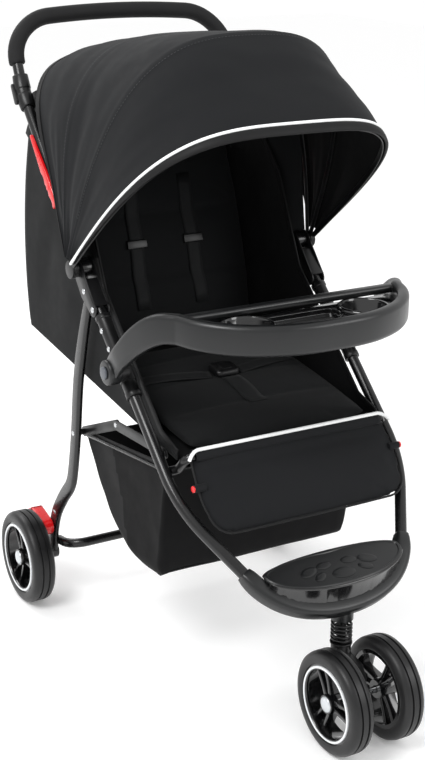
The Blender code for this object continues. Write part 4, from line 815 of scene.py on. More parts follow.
# %% Hinge housings and legs
CHEEK_IN, CHEEK_OUT = FRAME_X - TUBE_R - 0.0032, FRAME_X + TUBE_R + 0.0032
tail = front_point(0, 0.046)
outline = hull([(MAIN_PIVOT.y, MAIN_PIVOT.z, 0.017), (LEG_PIVOT.y, LEG_PIVOT.z, 0.015), (tail.y, tail.z, 0.0118)], 60)
inset = hull([(MAIN_PIVOT.y, MAIN_PIVOT.z, 0.0135), (LEG_PIVOT.y, LEG_PIVOT.z, 0.0115), (tail.y, tail.z, 0.0083)], 60)
LEG_LINE = ((LEG_PIVOT.y, LEG_PIVOT.z), (-0.149, 0.527), (-0.124, 0.4385), (-0.109, 0.3405), (-0.095, 0.272),
            (-0.082, 0.2375), (-0.052, 0.204), (-0.021, 0.163), (-0.005, 0.122), (0, REAR_AXLE_Z))
LEG_R = 0.0055
for word, side in SIDES:
    housing = block(outline, side * CHEEK_IN, side * (CHEEK_IN + 0.0028), 0.0008)
    block(outline, side * (CHEEK_OUT - 0.0028), side * CHEEK_OUT, 0.0010, housing)
    block(inset, side * (CHEEK_OUT - 0.0010), side * (CHEEK_OUT + 0.0003), 0.0006, housing)
    web_low, web_far = front_point(0, -0.004, TUBE_R + 0.0004), front_point(0, 0.046, TUBE_R + 0.0004)
    lift = 0.0028 * OFF_FRONT
    web = [(web_low.y, web_low.z), (web_far.y, web_far.z), (web_far.y + lift.y, web_far.z + lift.z),
           (web_low.y + lift.y, web_low.z + lift.z)]
    block(web, side * CHEEK_IN, side * CHEEK_OUT, 0.0005, housing)
    put("hinge_housing_" + word + "_v", housing, MOULDED, "frame", weld=0)
    x = side * FRAME_X
    route = curve([(x, y, z) for y, z in LEG_LINE], 6)
    sections = []
    for i in range(len(route)):
        half_w = 0.0090 + 0.0040 * min(1.0, i / 9)
        sections.append([(LEG_R * math.cos(a) + math.copysign(half_w - LEG_R, math.cos(a)), LEG_R * math.sin(a))
                         for a in [2 * math.pi * (k + 0.5) / 28 for k in range(28)]])
    leg = sweep(route, sections, X)
    cross_pin(x - 0.0057, x + 0.0057, LEG_PIVOT, 0.0098, shape=leg)
    cross_pin(x - 0.0057, x + 0.0057, (0, REAR_AXLE_Z), 0.0138, shape=leg)
    cross_pin(x, side * 0.263, (0, REAR_AXLE_Z), 0.005, shape=leg)
    cross_pin(x, side * 0.223, (-0.006, 0.132), 0.004, shape=leg)
    put("rear_leg_" + word + "_v", leg, PAINT, "rear_legs", "dark_grey_plastic", weld=0)
    heads = [(at(x + side * LEG_R, y, z), side * X) for y, z in ((-0.109, 0.341), (-0.021, 0.163))]
    rivets("leg_rivets_" + word, heads, 0.0045, 0.0016, "rear_legs")
inner = FRAME_X - 0.0061
reach = inner - 0.004
route = fillet([(-reach, -0.004, 0.100), (-reach, -0.055, 0.110), (reach, -0.055, 0.110), (reach, -0.004, 0.100)],
               [0.030, 0.030], 12)
put("rear_crossbar_v", sweep(route, disc(0.0082)), PAINT, "rear_legs")
print("legs and crossbar done")

# %% Brace links and hinge rivets
LEG_JOINT, LINK_JOINT, FRONT_JOINT = (-0.109, 0.341), (-0.235, 0.395), tuple(HIP + 0.305 * ALONG_FRONT)[1:]
LINK_R, LINK_THICK = 0.0085, 0.0024
outer = FRAME_X - TUBE_R - 0.0024
for word, side in SIDES:
    ends = hull([(*LINK_JOINT, LINK_R), (*FRONT_JOINT, LINK_R)])
    link = block(ends, side * (outer - LINK_THICK), side * outer, 0.0007)
    cross_pin(side * (outer - 0.001), side * (FRAME_X - TUBE_R - 0.0004), FRONT_JOINT, 0.005, shape=link)
    put("front_brace_" + word + "_v", link, MOULDED, "front_braces", weld=0)
    second = outer - 0.0028
    ends = hull([(*LEG_JOINT, LINK_R), (*LINK_JOINT, LINK_R)])
    link = block(ends, side * (second - LINK_THICK), side * second, 0.0007)
    cross_pin(side * (second - 0.001), side * inner, LEG_JOINT, 0.005, shape=link)
    put("rear_brace_" + word + "_v", link, MOULDED, "rear_braces", weld=0)
    rivets("brace_rivets_" + word, [(at(side * outer, *LINK_JOINT), side * X)], 0.0042, 0.0014, "front_braces")
    heads = [(at(side * CHEEK_OUT, p.y, p.z), side * X) for p in (LEG_PIVOT, tail)]
    rivets("hinge_rivets_" + word, heads, 0.0050, 0.0022, "frame")
print("braces done")

# %% [markdown]
# ## Wheels
#
# A grooved tyre on a dark rim with a white ring, three double spokes and a silver cap. What is the same all
# the way round is turned from a profile, as on a lathe. The spokes aren't, so one is modelled and the tree
# copies it about the axle, and one routine makes both sizes.


# %% One wheel
def wheel(row, word, x, y, z, tyre_r, tyre_w):
    """One wheel of a row, front or rear; its outer face looks away from the stroller's middle."""
    name, body = row + "_" + word, row + "_wheel_" + word
    place = Matrix.Translation((x, y, z))
    if x < 0:
        place = place @ Matrix.Rotation(math.pi, 4, "Z")
    half = tyre_w / 2
    seat = tyre_r - 0.0185
    wall = [(half - 0.001, seat), (half, seat + 0.003), (half, tyre_r - 0.010), (half - 0.0012, tyre_r - 0.005),
            (half - 0.0045, tyre_r - 0.0015), (half - 0.009, tyre_r - 0.0002), (0.0075, tyre_r),
            (0.0068, tyre_r - 0.0022), (0.0048, tyre_r - 0.0022), (0.0041, tyre_r)]
    profile = wall + [(-t, r) for t, r in reversed(wall)]
    put(name + "_tyre_v", lathe(profile, place, 112), RUBBER, body, nodes=[row + "_tyre_" + word], angle=50)
    rim_r = seat - 0.0004
    barrel = [(-half + 0.002, rim_r - 0.006), (half - 0.010, rim_r - 0.0075), (half - 0.0075, rim_r - 0.0085),
              (half - 0.003, rim_r - 0.0088), (half - 0.001, rim_r - 0.0075), (half - 0.001, rim_r - 0.0045),
              (half - 0.003, rim_r - 0.0042), (half - 0.003, rim_r), (-half + 0.002, rim_r)]
    rim = lathe(barrel, place, 112)
    hub = [(-half + 0.001, 0.0058), (half - 0.004, 0.0058), (half - 0.004, 0.0110), (half - 0.002, 0.0122),
           (half - 0.0015, 0.0140), (half - 0.003, 0.0148), (0.0, 0.0155), (-half + 0.002, 0.0150),
           (-half + 0.001, 0.0140)]
    lathe(hub, place, 64, rim)
    bmesh.ops.recalc_face_normals(rim, faces=rim.faces)
    put(name + "_rim_v", rim, GLOSSY, body, nodes=[row + "_rim_" + word], weld=0)
    ring = [(half - 0.0034, rim_r - 0.0062), (half - 0.0004, rim_r - 0.0060), (half + 0.0002, rim_r - 0.0054),
            (half + 0.0002, rim_r - 0.0034), (half - 0.0006, rim_r - 0.0026), (half - 0.0034, rim_r - 0.0026)]
    put(name + "_ring", lathe(ring, place, 112), WHITE_RIM, body, None)
    cap = [(half - 0.006, 0), (half - 0.006, 0.0118), (half - 0.0026, 0.0122), (half - 0.0008, 0.0114),
           (half + 0.0004, 0.0094), (half + 0.0010, 0.0050), (half + 0.0012, 0.0)]
    put(name + "_cap", turned(cap, place, 64), SILVER, body)
    spoke = bmesh.new()
    for sign in (1, -1):
        inner_p, outer_p = at(0, sign * 0.0062, 0.0125), at(0, sign * 0.0110, rim_r - 0.0065)
        route = [inner_p.lerp(outer_p, i / 8) for i in range(9)]
        sections = [slab(0.0058 - 0.0012 * math.sin(math.pi * i / 8) + tyre_w * 0.12,
                         0.0030 + 0.0008 * abs(i / 4 - 1) ** 2, 0.0018, 3) for i in range(9)]
        sweep(route, sections, (0, 1, 0), spoke)
    web_route = [at(-0.002, 0, 0.0125).lerp(at(-0.002, 0, rim_r - 0.0065), i / 4) for i in range(5)]
    sweep(web_route, [slab(0.0016, 0.0060 + 0.0006 * i, 0.0010, 2) for i in range(5)], (0, 1, 0), spoke)
    data = bpy.data.meshes.new(name)
    spoke.to_mesh(data)
    spoke.free()
    made = bpy.data.objects.new(name + "_spokes", data)
    bpy.context.scene.collection.objects.link(made)
    grown(made, SPOKES, GLOSSY, Count=3, Start=math.pi / 6)
    made.data.transform(SHIFT @ place)
    made.data.set_sharp_from_angle(angle=math.radians(40))
    settle(made, body)


# %% Wheels and brake pedals
FRONT_AXLE_Y = -0.658
for word, side in SIDES:
    wheel("rear", word, side * 0.249, 0, REAR_AXLE_Z, 0.0815, 0.040)
    wheel("front", word, side * 0.0447, FRONT_AXLE_Y, FRONT_AXLE_Z, 0.079, 0.036)
    pedal = block(hull([(-0.006, 0.132, 0.0150), (0.030, 0.146, 0.0100)]), side * 0.2061, side * 0.2275, 0.0022)
    block(hull([(0.030, 0.146, 0.0100), (0.064, 0.130, 0.0070)]), side * 0.2061, side * 0.2275, 0.0022, pedal)
    put("brake_pedal_" + word + "_v", pedal, RED, "brake_" + word, weld=0)

# %% [markdown]
# ## Footrest, suspension and caster
#
# One curved moulding joins the front tubes. It carries a half-moon step with oval grips, and below it a
# black coil sits between the housing and the swivelling fork. The step could be a bevelled plate, but rings
# that climb from the band to the lip let its wall follow the band's curve.

# %% Footrest band
toe, slant = Vector((0.136, 0.526)), Vector((0.136 - FRAME_X, 0.526 - 0.395)).normalized()
start, pull = toe + 0.006 * slant, toe + 0.051 * slant
flat, middle = Vector((0.070, 0.600)), Vector((0.0, 0.600))
half_line = [toe - 0.012 * slant, toe - 0.004 * slant]
half_line += [(1 - t) ** 3 * start + 3 * t * (1 - t) ** 2 * pull + 3 * t * t * (1 - t) * flat + t ** 3 * middle
              for t in [i / 20 for i in range(21)]]
band_line = [front_point(p.x, p.y) for p in half_line]
band_line += mirrored(band_line[:-1])
count = len(band_line)
sections = []
for i in range(count):
    near = min(i, count - 1 - i)
    swell = (0.0, 0.55, 0.9, 1.0)[min(near, 3)]
    sections.append(slab(0.0098 + 0.0030 * swell, 0.0102 + 0.0036 * swell, 0.0045 + 0.0036 * swell, 5))
band = sweep(band_line, sections, X.cross(ALONG_FRONT), soft=0.0015)
put("footrest_bracket_v", band, SATIN, "frame")
housing = pin((0, STEM_Y, 0.1785), (0, STEM_Y, 0.2130), 0.0170, 0.0015)
put("stem_housing_v", housing, SATIN, "frame", nodes=[], weld=0)
print("band points", count)

# %% Footrest plate
PLATE_W, PLATE_REAR, PLATE_FRONT, PLATE_Z, PLATE_FALL, PLATE_BOW = 0.121, -0.554, -0.628, 0.270, 0.270, 0.023


def plate_point(x, back):
    """The top's edge at x: the bowed rear edge or the round front edge."""
    bow = math.sqrt(max(0.0, 1 - (x / PLATE_W) ** 2))
    corner = PLATE_REAR - PLATE_BOW
    y = corner + (PLATE_BOW if back else PLATE_FRONT - corner) * bow
    return at(x, y, PLATE_Z - PLATE_FALL * (PLATE_REAR - y))


RING_COUNT = 96
top_ring, low_ring = [], []
for i in range(RING_COUNT):
    share = 2 * i / RING_COUNT
    back = share < 1
    x = PLATE_W * math.cos(math.pi * share)
    p = plate_point(x, back)
    lift = (p - HIP).dot(OFF_FRONT)
    bow = math.sqrt(max(0.0, 1 - (x / PLATE_W) ** 2))
    foot = 0.0134 if not back or bow < 0.01 else 0.0134 - 0.024 * bow
    top_ring.append(p)
    low_ring.append(p - (lift - foot) * OFF_FRONT)
centre_top = sum(top_ring, Vector()) / RING_COUNT
up = at(0, -PLATE_FALL, 1).normalized()
plate_rings = [low_ring, [a.lerp(b, 0.5) for a, b in zip(low_ring, top_ring)]]
# The edge rounds over to a raised lip, and the floor inside the lip lies 1.2 mm lower
for draw, drop in ((0.0, 0.0030), (0.0008, 0.0012), (0.0028, 0.0), (0.0065, 0.0), (0.0078, 0.0012), (0.0095, 0.0012)):
    plate_rings.append([p + (centre_top - p).normalized() * draw - up * drop for p in top_ring])
plate = skin(plate_rings)
print("plate rings", len(plate_rings), "of", RING_COUNT, "points")

# %% Oval grips on the plate
GRIPS = ((-0.052, -0.590, 0.016, 0.35), (-0.022, -0.584, 0.013, 0.1), (0.022, -0.584, 0.013, -0.1),
         (0.052, -0.590, 0.016, -0.35), (0.0, -0.606, 0.020, 0.0), (-0.040, -0.604, 0.012, 0.5),
         (0.040, -0.604, 0.012, -0.5))
GRIP_HIGH = 0.0014
for spot_x, spot_y, long, turn_by in GRIPS:
    base = at(spot_x, spot_y, PLATE_Z - PLATE_FALL * (PLATE_REAR - spot_y))
    place = (Matrix.Translation(base - up * 0.0010) @ up.to_track_quat("X", "Z").to_matrix().to_4x4()
             @ Matrix.Rotation(turn_by, 4, "X") @ Matrix.Diagonal((1.0, 1.0, 0.55, 1.0)))
    bulge = [(GRIP_HIGH * math.sin(a), long * math.cos(a) ** 0.5) for a in (0.3, 0.7, 1.1, 1.4)]
    turned([(-0.0004, 0), (-0.0004, long)] + bulge + [(GRIP_HIGH, 0)], place, 40, plate)
put("footrest_plate_v", plate, SATIN, "frame", weld=0, angle=30)
print("grips", len(GRIPS))

# %% Wall under the footrest
rows = []
for step in range(9):
    t = step / 8
    row = []
    for i in range(61):
        x = 0.1170 * (2 * i / 60 - 1)
        under = plate_point(x, False) - up * 0.0016
        k = min(range(count), key=lambda n: abs(band_line[n].x - x))
        foot_p = at(x, band_line[k].y, band_line[k].z) + 0.0105 * OFF_FRONT - 0.0040 * ALONG_FRONT
        p = under.lerp(foot_p, t)
        row.append(p + at(0, 0.0012 * math.sin(math.pi * t), 0))
    rows.append(row)
settle(thick_sheet("footrest_wall", rows, GLOSSY, 0.0030, 0.0), "frame")
print("footrest wall rows", len(rows))

# %% Suspension and caster
stem = pin((0, STEM_Y, 0.1130), (0, STEM_Y, 0.1975), 0.0070)
pin((0, STEM_Y, 0.1386), (0, STEM_Y, 0.1416), 0.0170, 0.001, shape=stem)
put("caster_stem_v", stem, SPRING_STEEL, "suspension_stem", weld=0)
coil = plain("suspension_spring_v", [(0, 0, 0)])
grown(coil, COIL, SPRING_STEEL, Turns=5.0, Radius=0.0145, Height=0.0310, Wire=0.0021)
coil.data.transform(Matrix.Translation((0, STEM_Y + AXLE_Y, 0.1446)))
settle(coil, "frame")
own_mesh(coil)
fork = pin((0, STEM_Y, 0.1102), (0, STEM_Y, 0.1382), 0.0152, 0.0015)
for grow, half in ((0.0, 0.0110), (0.0016, 0.0070)):
    cheek = hull([(STEM_Y, 0.1182, 0.0135 + grow), (FRONT_AXLE_Y, FRONT_AXLE_Z, 0.0135 + grow)], 48)
    block(cheek, -half, half, 0.0020, fork)
mudguard = hull([(STEM_Y, 0.1150, 0.0105), (-0.640, 0.112, 0.0085), (-0.650, 0.098, 0.008)], 48)
block(mudguard, -0.0125, 0.0125, 0.0020, fork)
put("caster_fork_v", fork, MOULDED, "caster", weld=0)
put("front_axle_v", cross_pin(-0.0565, 0.0565, (FRONT_AXLE_Y, FRONT_AXLE_Z), 0.005), STEEL, "caster")
print("caster done")

# %% [markdown]
# ## Tray
#
# A tall satin bumper starts at each root disc, rises over a hump and runs round the front. Inside it lies
# a glossy deck with two cup wells and a shallow recess. The bumper is a rounded slab swept along its line with
# its height kept upright. The deck's holes are plain, so booleans cut them and a bevel softens every edge.


# %% Tray bumper
PLAN = [at(x, y, 0) for x, y in ((0.1905, -0.446), (0.1800, -0.474), (0.1620, -0.500), (0.1370, -0.523),
                                 (0.1080, -0.541), (0.0720, -0.555), (0.0360, -0.561), (0, -0.562))]
round_front = curve(PLAN, 4)


def tray_edge(inset):
    """The tray's outline in plan, drawn in from the bumper's centre line: straight behind, bowed in front."""
    side_line = fillet([at(0, -0.437, 0), at(0.1860, -0.437, 0), round_front[1]], [0.012], 6)[:-1] + round_front[1:]
    whole = side_line[:-1] + mirrored(side_line[1:])
    middle = at(0, -0.495, 0)
    return [p + (middle - p).normalized() * inset for p in whole]


arm = [at(0.2290, TRAY_ROOT.y, TRAY_ROOT.z), at(0.2285, TRAY_ROOT.y - 0.016, TRAY_ROOT.z + 0.019),
       at(0.2265, -0.347, 0.5530), at(0.2215, -0.372, 0.5760), at(0.2140, -0.400, 0.5965),
       at(0.2040, -0.424, 0.6080), at(0.1905, -0.446, 0.6110)]
half = curve(arm, 5)[:-1] + [at(p.x, p.y, 0.6080 + 0.0030 * max(0.0, 1 - i / 12)) for i, p in enumerate(round_front)]
bumper_line = half + mirrored(half[:-1])
lengths = [0.0]
for a, b in zip(bumper_line, bumper_line[1:]):
    lengths.append(lengths[-1] + (b - a).length)
sections = []
for here in lengths:
    near = min(here, lengths[-1] - here)
    grow = min(1.0, max(0.0, (near - 0.02) / 0.13))
    grow = grow * grow * (3 - 2 * grow)
    root_share = min(1.0, max(0.0, near - 0.012) / 0.030)
    tall, thick = 0.0175 + 0.0055 * grow, 0.0058 + 0.0050 * root_share - 0.0012 * grow
    sections.append(slab(thick, tall, min(0.0086, thick - 0.0010), 6))
put("tray_bumper", sweep(bumper_line, sections, UP, soft=0.004), SATIN, "tray_unit")
print("bumper length", round(lengths[-1], 3))

# %% Tray deck
WELL_X, WELL_Y = 0.101, -0.487
deck_top = 0.6130
levels = ((0.008, 0.5870), (0.003, 0.5900), (0.001, 0.6080), (0.003, deck_top - 0.0010), (0.0060, deck_top))
rings = [[at(p.x, p.y, z) for p in tray_edge(inset)] for inset, z in levels]
deck = put("tray_deck", skin(rings), GLOSSY, weld=0)
cutters = [pin((side * WELL_X, WELL_Y, 0.590), (side * WELL_X, WELL_Y, 0.660), 0.0352, 0.0005, 72)
           for _, side in SIDES]
hole = slab(0.057, 0.030, 0.010, 6)
cutters.append(skin([[at(u, -0.493 + v, z) for u, v in hole] for z in (0.6055, 0.660)]))
for shape in cutters:
    tool = put("tool", shape, GLOSSY, weld=0)
    tool.hide_render = True
    cut = deck.modifiers.new("cut", "BOOLEAN")
    cut.operation, cut.solver, cut.object = "DIFFERENCE", "EXACT", tool
soften = deck.modifiers.new("soften", "BEVEL")
soften.width, soften.segments, soften.limit_method, soften.angle_limit = 0.0012, 3, "ANGLE", math.radians(40)
applied(deck)
for tool in [o for o in bpy.data.objects if o.name.startswith("tool")]:
    bpy.data.objects.remove(tool, do_unlink=True)
deck.data.set_sharp_from_angle(angle=math.radians(35))
settle(deck, "tray_unit", nodes=["tray"])
print("deck faces", len(deck.data.polygons))

# %% Tray rail
rail = fillet([at(0.1885, -0.458, 0.6225), at(0.1860, -0.4420, 0.6230), at(-0.1860, -0.4420, 0.6230),
               at(-0.1885, -0.458, 0.6225)], [0.010, 0.010], 8)
put("tray_rear_rail", sweep(rail, slab(0.0085, 0.0062, 0.0050, 5), UP, soft=0.002), SATIN, "tray_unit")
print("rail points", len(rail))

# %% Cup wells, tray roots and brackets
# A well's wall and rim: height and radius, from the middle of its floor round and back
WELL = ((0.5770, 0.0), (0.5770, 0.0290), (0.5790, 0.0342), (0.6080, 0.0356), (0.6122, 0.0366), (0.6135, 0.0405),
        (0.6170, 0.0402), (0.6186, 0.0380), (0.6180, 0.0350), (0.6150, 0.0334), (0.5820, 0.0322), (0.5796, 0.0295),
        (0.5794, 0.0))
# Each sleeve grips the front tube: how far down the tube a ring lies, and its radius
SLEEVE = ((0.059, 0.0125), (0.066, 0.0125), (0.067, 0.0112), (0.132, 0.0112), (0.133, 0.0118), (0.150, 0.0118),
          (0.1505, 0.0130), (0.179, 0.0130), (0.1795, 0.0118), (0.196, 0.0118), (0.197, 0.0125), (0.206, 0.0125))
ROOT_X = 0.2290
for word, side in SIDES:
    place = Matrix.Translation((side * WELL_X, WELL_Y, 0)) @ X.rotation_difference(UP).to_matrix().to_4x4()
    put("cup_well_" + word, turned(WELL, place, 96), GLOSSY, "tray_unit", angle=50)
    root = cross_pin(side * ROOT_X - side * 0.0110, side * ROOT_X + side * 0.0110, TRAY_ROOT, 0.0197, 0.0035, 64)
    put("tray_root_" + word, root, SATIN, "tray_unit")
    button = cross_pin(side * ROOT_X + side * 0.0108, side * ROOT_X + side * 0.0150, TRAY_ROOT, 0.0100, 0.0016, 48)
    put("tray_button_" + word + "_v", button, GREY, "tray_release_" + word)
    bracket = sweep([front_point(side * FRAME_X, s) for s, _ in SLEEVE], [disc(r, 36) for _, r in SLEEVE], OFF_FRONT,
                    soft=0.0008)
    cross_pin(side * (FRAME_X + 0.004), side * 0.2176, TRAY_ROOT, 0.0150, 0.001, shape=bracket)
    put("tray_bracket_" + word + "_v", bracket, MOULDED, "frame", weld=0)
    heads = [(front_point(side * (FRAME_X + 0.0112), s), side * X) for s in (0.085, 0.118)]
    rivets("bracket_rivets_" + word, heads, 0.0045, 0.0020, "frame")
print("well depth", round(WELL[7][0] - WELL[0][0], 4))

# %% [markdown]
# ## Canopy
#
# The hood is one curved sheet over three flat bows. It sags a little between them, pulls diagonally near
# the hinge, and its front edge carries a black hem with white piping. A cloth simulation could drape it, but
# it would drift off the bows, so the sag and the pulls are small offsets from one even shape.

# %% Canopy lines
# Each bow is its angle up from the front, its reach from the hinge, and how square its arch is
HOOD_W, HOOD_SAG = 0.2285, 0.009
FRONT_BOW, MIDDLE_BOW = (math.radians(39.4), 0.391, 3.6), (math.radians(67.0), 0.398, 2.9)
REAR_BOW, HOOD_BACK = (math.radians(95.0), 0.352, 3.3), (math.radians(125.0), 0.376, 4.0)
BOWS = (FRONT_BOW, MIDDLE_BOW, REAR_BOW, HOOD_BACK)


def arch_point(half_w, reach, turn, square):
    """A point of a squared arch, across and outwards; its feet are at turns of 0 and 180 degrees."""
    c, s = math.cos(turn), math.sin(turn)
    size = ((abs(c) / half_w) ** square + (abs(s) / reach) ** square) ** (-1 / square)
    return size * c, size * s


def hood_point(angle, turn, off):
    """A point of the hood: angle up from the front, turn across the arch, off its surface outwards."""
    if angle <= MIDDLE_BOW[0]:
        pair = (FRONT_BOW, MIDDLE_BOW)
    else:
        pair = (MIDDLE_BOW, REAR_BOW) if angle <= REAR_BOW[0] else (REAR_BOW, HOOD_BACK)
    share = (angle - pair[0][0]) / (pair[1][0] - pair[0][0])
    reach = pair[0][1] + (pair[1][1] - pair[0][1]) * share - HOOD_SAG * math.sin(math.pi * min(max(share, 0), 1))
    square = pair[0][2] + (pair[1][2] - pair[0][2]) * share
    if pair[0] is REAR_BOW:
        crown = min(1.0, max(0.0, (math.sin(turn) - 0.45) / 0.5))
        angle = REAR_BOW[0] + (angle - REAR_BOW[0]) * (0.60 + 0.40 * crown * crown * (3 - 2 * crown))
    x, s = arch_point(HOOD_W + off, reach + off, turn, square)
    return at(x, 0, 0) + MAIN_PIVOT + s * at(0, -math.cos(angle), math.sin(angle))


def creases(angle, turn):
    """How far the cloth lies off its even shape: seams, pulls from the hinge and soft dents."""
    low_down = math.exp(-((math.sin(turn) - 0.10) / 0.22) ** 2)
    pull = math.sin(11.0 * angle + 7.0 * math.sin(turn)) * low_down * 0.0034
    soft = noise.noise(at(math.cos(turn) * 2.2, angle * 3.4, 1.7)) * 0.0044
    fine = noise.noise(at(math.cos(turn) * 7.0 + angle * 3.0, angle * 11.0, 5.1)) * 0.0015
    seam = sum(0.0012 * math.exp(-((angle - a) / 0.011) ** 2) for a in (MIDDLE_BOW[0], REAR_BOW[0]))
    free = min(1.0, abs(angle - FRONT_BOW[0]) / 0.10) * min(1.0, abs(HOOD_BACK[0] - angle) / 0.10 + 0.2)
    for a in (MIDDLE_BOW[0], REAR_BOW[0]):
        free *= 0.25 + 0.75 * min(1.0, abs(angle - a) / 0.12)
    return (pull + soft + fine) * free + seam


TURNS = [math.radians(175 - 170 * i / 110) for i in range(111)]
print("hood arches from", round(math.degrees(FRONT_BOW[0]), 1), "to", round(math.degrees(HOOD_BACK[0]), 1), "degrees")

# %% Canopy cloth
angles = []
for a, b in zip(BOWS, BOWS[1:]):
    angles += [a[0] + (b[0] - a[0]) * i / 22 for i in range(22)]
angles = [FRONT_BOW[0] - 0.014, FRONT_BOW[0] - 0.006] + angles + [HOOD_BACK[0]]
grid = [[hood_point(a, t, creases(a, t)) for t in TURNS] for a in angles]


def cloth(name, grid, material, thick, out=-1.0):
    """A sheet with a wall, made by thick_sheet."""
    made = thick_sheet(name, grid, material, thick, out)
    return made


hood = cloth("canopy_cloth", grid, [CLOTH, LINING], 0.0012)
settle(hood, None, nodes=["canopy_fabric"])
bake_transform(hood)

# %% Canopy bows
LAYER = 0.0028
for layer, (name, (angle, reach, square), body) in enumerate((
        ("canopy_front_bow", FRONT_BOW, "canopy_front"), ("canopy_middle_bow", MIDDLE_BOW, "canopy_middle"),
        ("canopy_rear_bow", REAR_BOW, "frame"))):
    # Each bow pivots one layer further in than the one before it, so that they pass one another
    half_w = HOOD_W - LAYER - layer * LAYER - 0.0012
    crown = reach - LAYER - 0.0026 - layer * LAYER - 0.0012
    line = []
    for i in range(91):
        x, s = arch_point(half_w, crown, math.radians(177 - 174 * i / 90), square)
        line.append(at(x, 0, 0) + MAIN_PIVOT + s * at(0, -math.cos(angle), math.sin(angle)))
    flat = at(0, math.sin(angle), math.cos(angle))
    bow = sweep(line, slab(0.0011, 0.0048, 0.0009, 3), flat)
    for word, side in SIDES:
        cross_pin(side * (half_w - 0.0012), side * (half_w + 0.0012), MAIN_PIVOT, 0.0145, 0.0006, shape=bow)
    put(name + "_v", bow, MOULDED, body, weld=0)
lowest = HOOD_W - LAYER - 2 * LAYER - LAYER
for word, side in SIDES:
    hub = cross_pin(side * (CHEEK_OUT + 0.0004), side * lowest, MAIN_PIVOT, 0.0130, 0.001)
    put("canopy_hinge_" + word + "_v", hub, MOULDED, "frame")
print("bows done")

# %% Hem and piping
hem_back, hem_front = FRONT_BOW[0] + 0.018, FRONT_BOW[0] - 0.020


def hood_strip(name, edges, body):
    """A binding tape on the hood, through (angle, height off the cloth) edges."""
    rows = [[hood_point(angle, t, off) for t in TURNS] for angle, off in edges]
    settle(thick_sheet(name, rows, BINDING, 0.0006), body)


hood_strip("canopy_hem", ((hem_back, 0.0004), (hem_back - 0.004, 0.0014), (FRONT_BOW[0], 0.0016),
                          (hem_front + 0.004, 0.0014), (hem_front, 0.0002), (hem_front, -0.0014),
                          (hem_front + 0.004, -0.0022), (FRONT_BOW[0] - 0.008, -0.0022)), "canopy_front")
line = [hood_point(hem_back + 0.004, t, 0.0016) for t in TURNS]
put("canopy_piping", sweep(line, disc(0.0024, 12), soft=0.001), PIPING, "canopy_front", None)
back_edge = HOOD_BACK[0]
hood_strip("canopy_back_hem", ((back_edge - 0.045, 0.0003), (back_edge - 0.040, 0.0010), (back_edge + 0.002, 0.0010),
                               (back_edge + 0.003, -0.0016)), "frame")
# One row of thread beside each bow, where the folded cloth leaves it room
for name, angle, body in (("middle_bow_stitches", MIDDLE_BOW[0] - 0.016, "canopy_middle"),
                          ("rear_bow_stitches", REAR_BOW[0] + 0.016, "frame")):
    stitches(name, [hood_point(angle, t, creases(angle, t) + 0.0002) for t in TURNS[12:-12]], body, pitch=0.0055)
print("hood trim done")

# %% [markdown]
# ## Seat sling and rear cloth
#
# One strip makes the seat's floor and both side walls, as it is sewn on the real one. Its folds grow towards
# the rear and die out along the seams. Behind the backrest hangs a gathered curtain of the same cloth.


# %% Seat sling
def between(points, share):
    """A point at a share of a polyline's length."""
    lengths = [(b - a).length for a, b in zip(points, points[1:])]
    left = share * sum(lengths)
    for a, b, long in zip(points, points[1:], lengths):
        if left <= long or b is points[-1]:
            return a.lerp(b, min(1.0, left / long))
        left -= long


SLING_W = 0.1795
hip_low, knee = front_point(0, 0.020), front_point(0, 0.270)
upper = [FLOOR_A + at(0, 0, 0.012), knee, hip_low, hip_low + at(0, 0.022, 0.045), at(0, -0.120, 0.745),
         at(0, -0.030, 0.838), at(0, 0.040, 0.884), at(0, 0.076, 0.872)]
grid = []
for i in range(101):
    u = i / 100
    low_p, high_p = FLOOR_A.lerp(FLOOR_B, u), between(upper, u)
    wall = []
    for k in range(31):
        v = 1 - k / 30
        p = low_p.lerp(high_p, v)
        p.y += 0.031 * math.sin(math.pi * min(1.0, v * 1.02)) ** 0.8 * u ** 6
        fold = math.sin(26 * u + 4 * v) * 0.0022 * u ** 2 * (1 - v) ** 0.5 + noise.noise(p * 16) * 0.0030
        free = min(1.0, 4 * v) * min(1.0, 4 * (1 - v) + 0.2) * min(1.0, 6 * (1 - u) + 0.1)
        calm = min(1.0, ((p - MAIN_PIVOT).length / 0.07) ** 2)
        wall.append(at(SLING_W + fold * free * calm, p.y, p.z))
    floor_row = []
    for k in range(1, 30):
        x = SLING_W * (1 - 2 * k / 30)
        sag = 0.0025 * (1 - (x / SLING_W) ** 2)
        floor_row.append(at(x, low_p.y, low_p.z - sag))
    grid.append(wall + floor_row + mirrored(wall))
sling = cloth("seat_sling_v", grid, [SEAT_CLOTH, LINING], 0.0012,
              1.0)
settle(sling, "frame")
for word, side in SIDES:
    top_edge = [side * SLING_W * X + between(upper, i / 80) for i in range(81)]
    tape = sweep(top_edge, slab(0.0050, 0.0013, 0.0011, 3), side * X, soft=0.0005)
    put("sling_binding_" + word, tape, BINDING, "frame")

# %% [markdown]
# Two small cloth panels close the sides between the rear bow and the sling. They fan out from the hinge, so
# their rows are rays and their columns are arcs, and a little noise keeps them from looking like board.

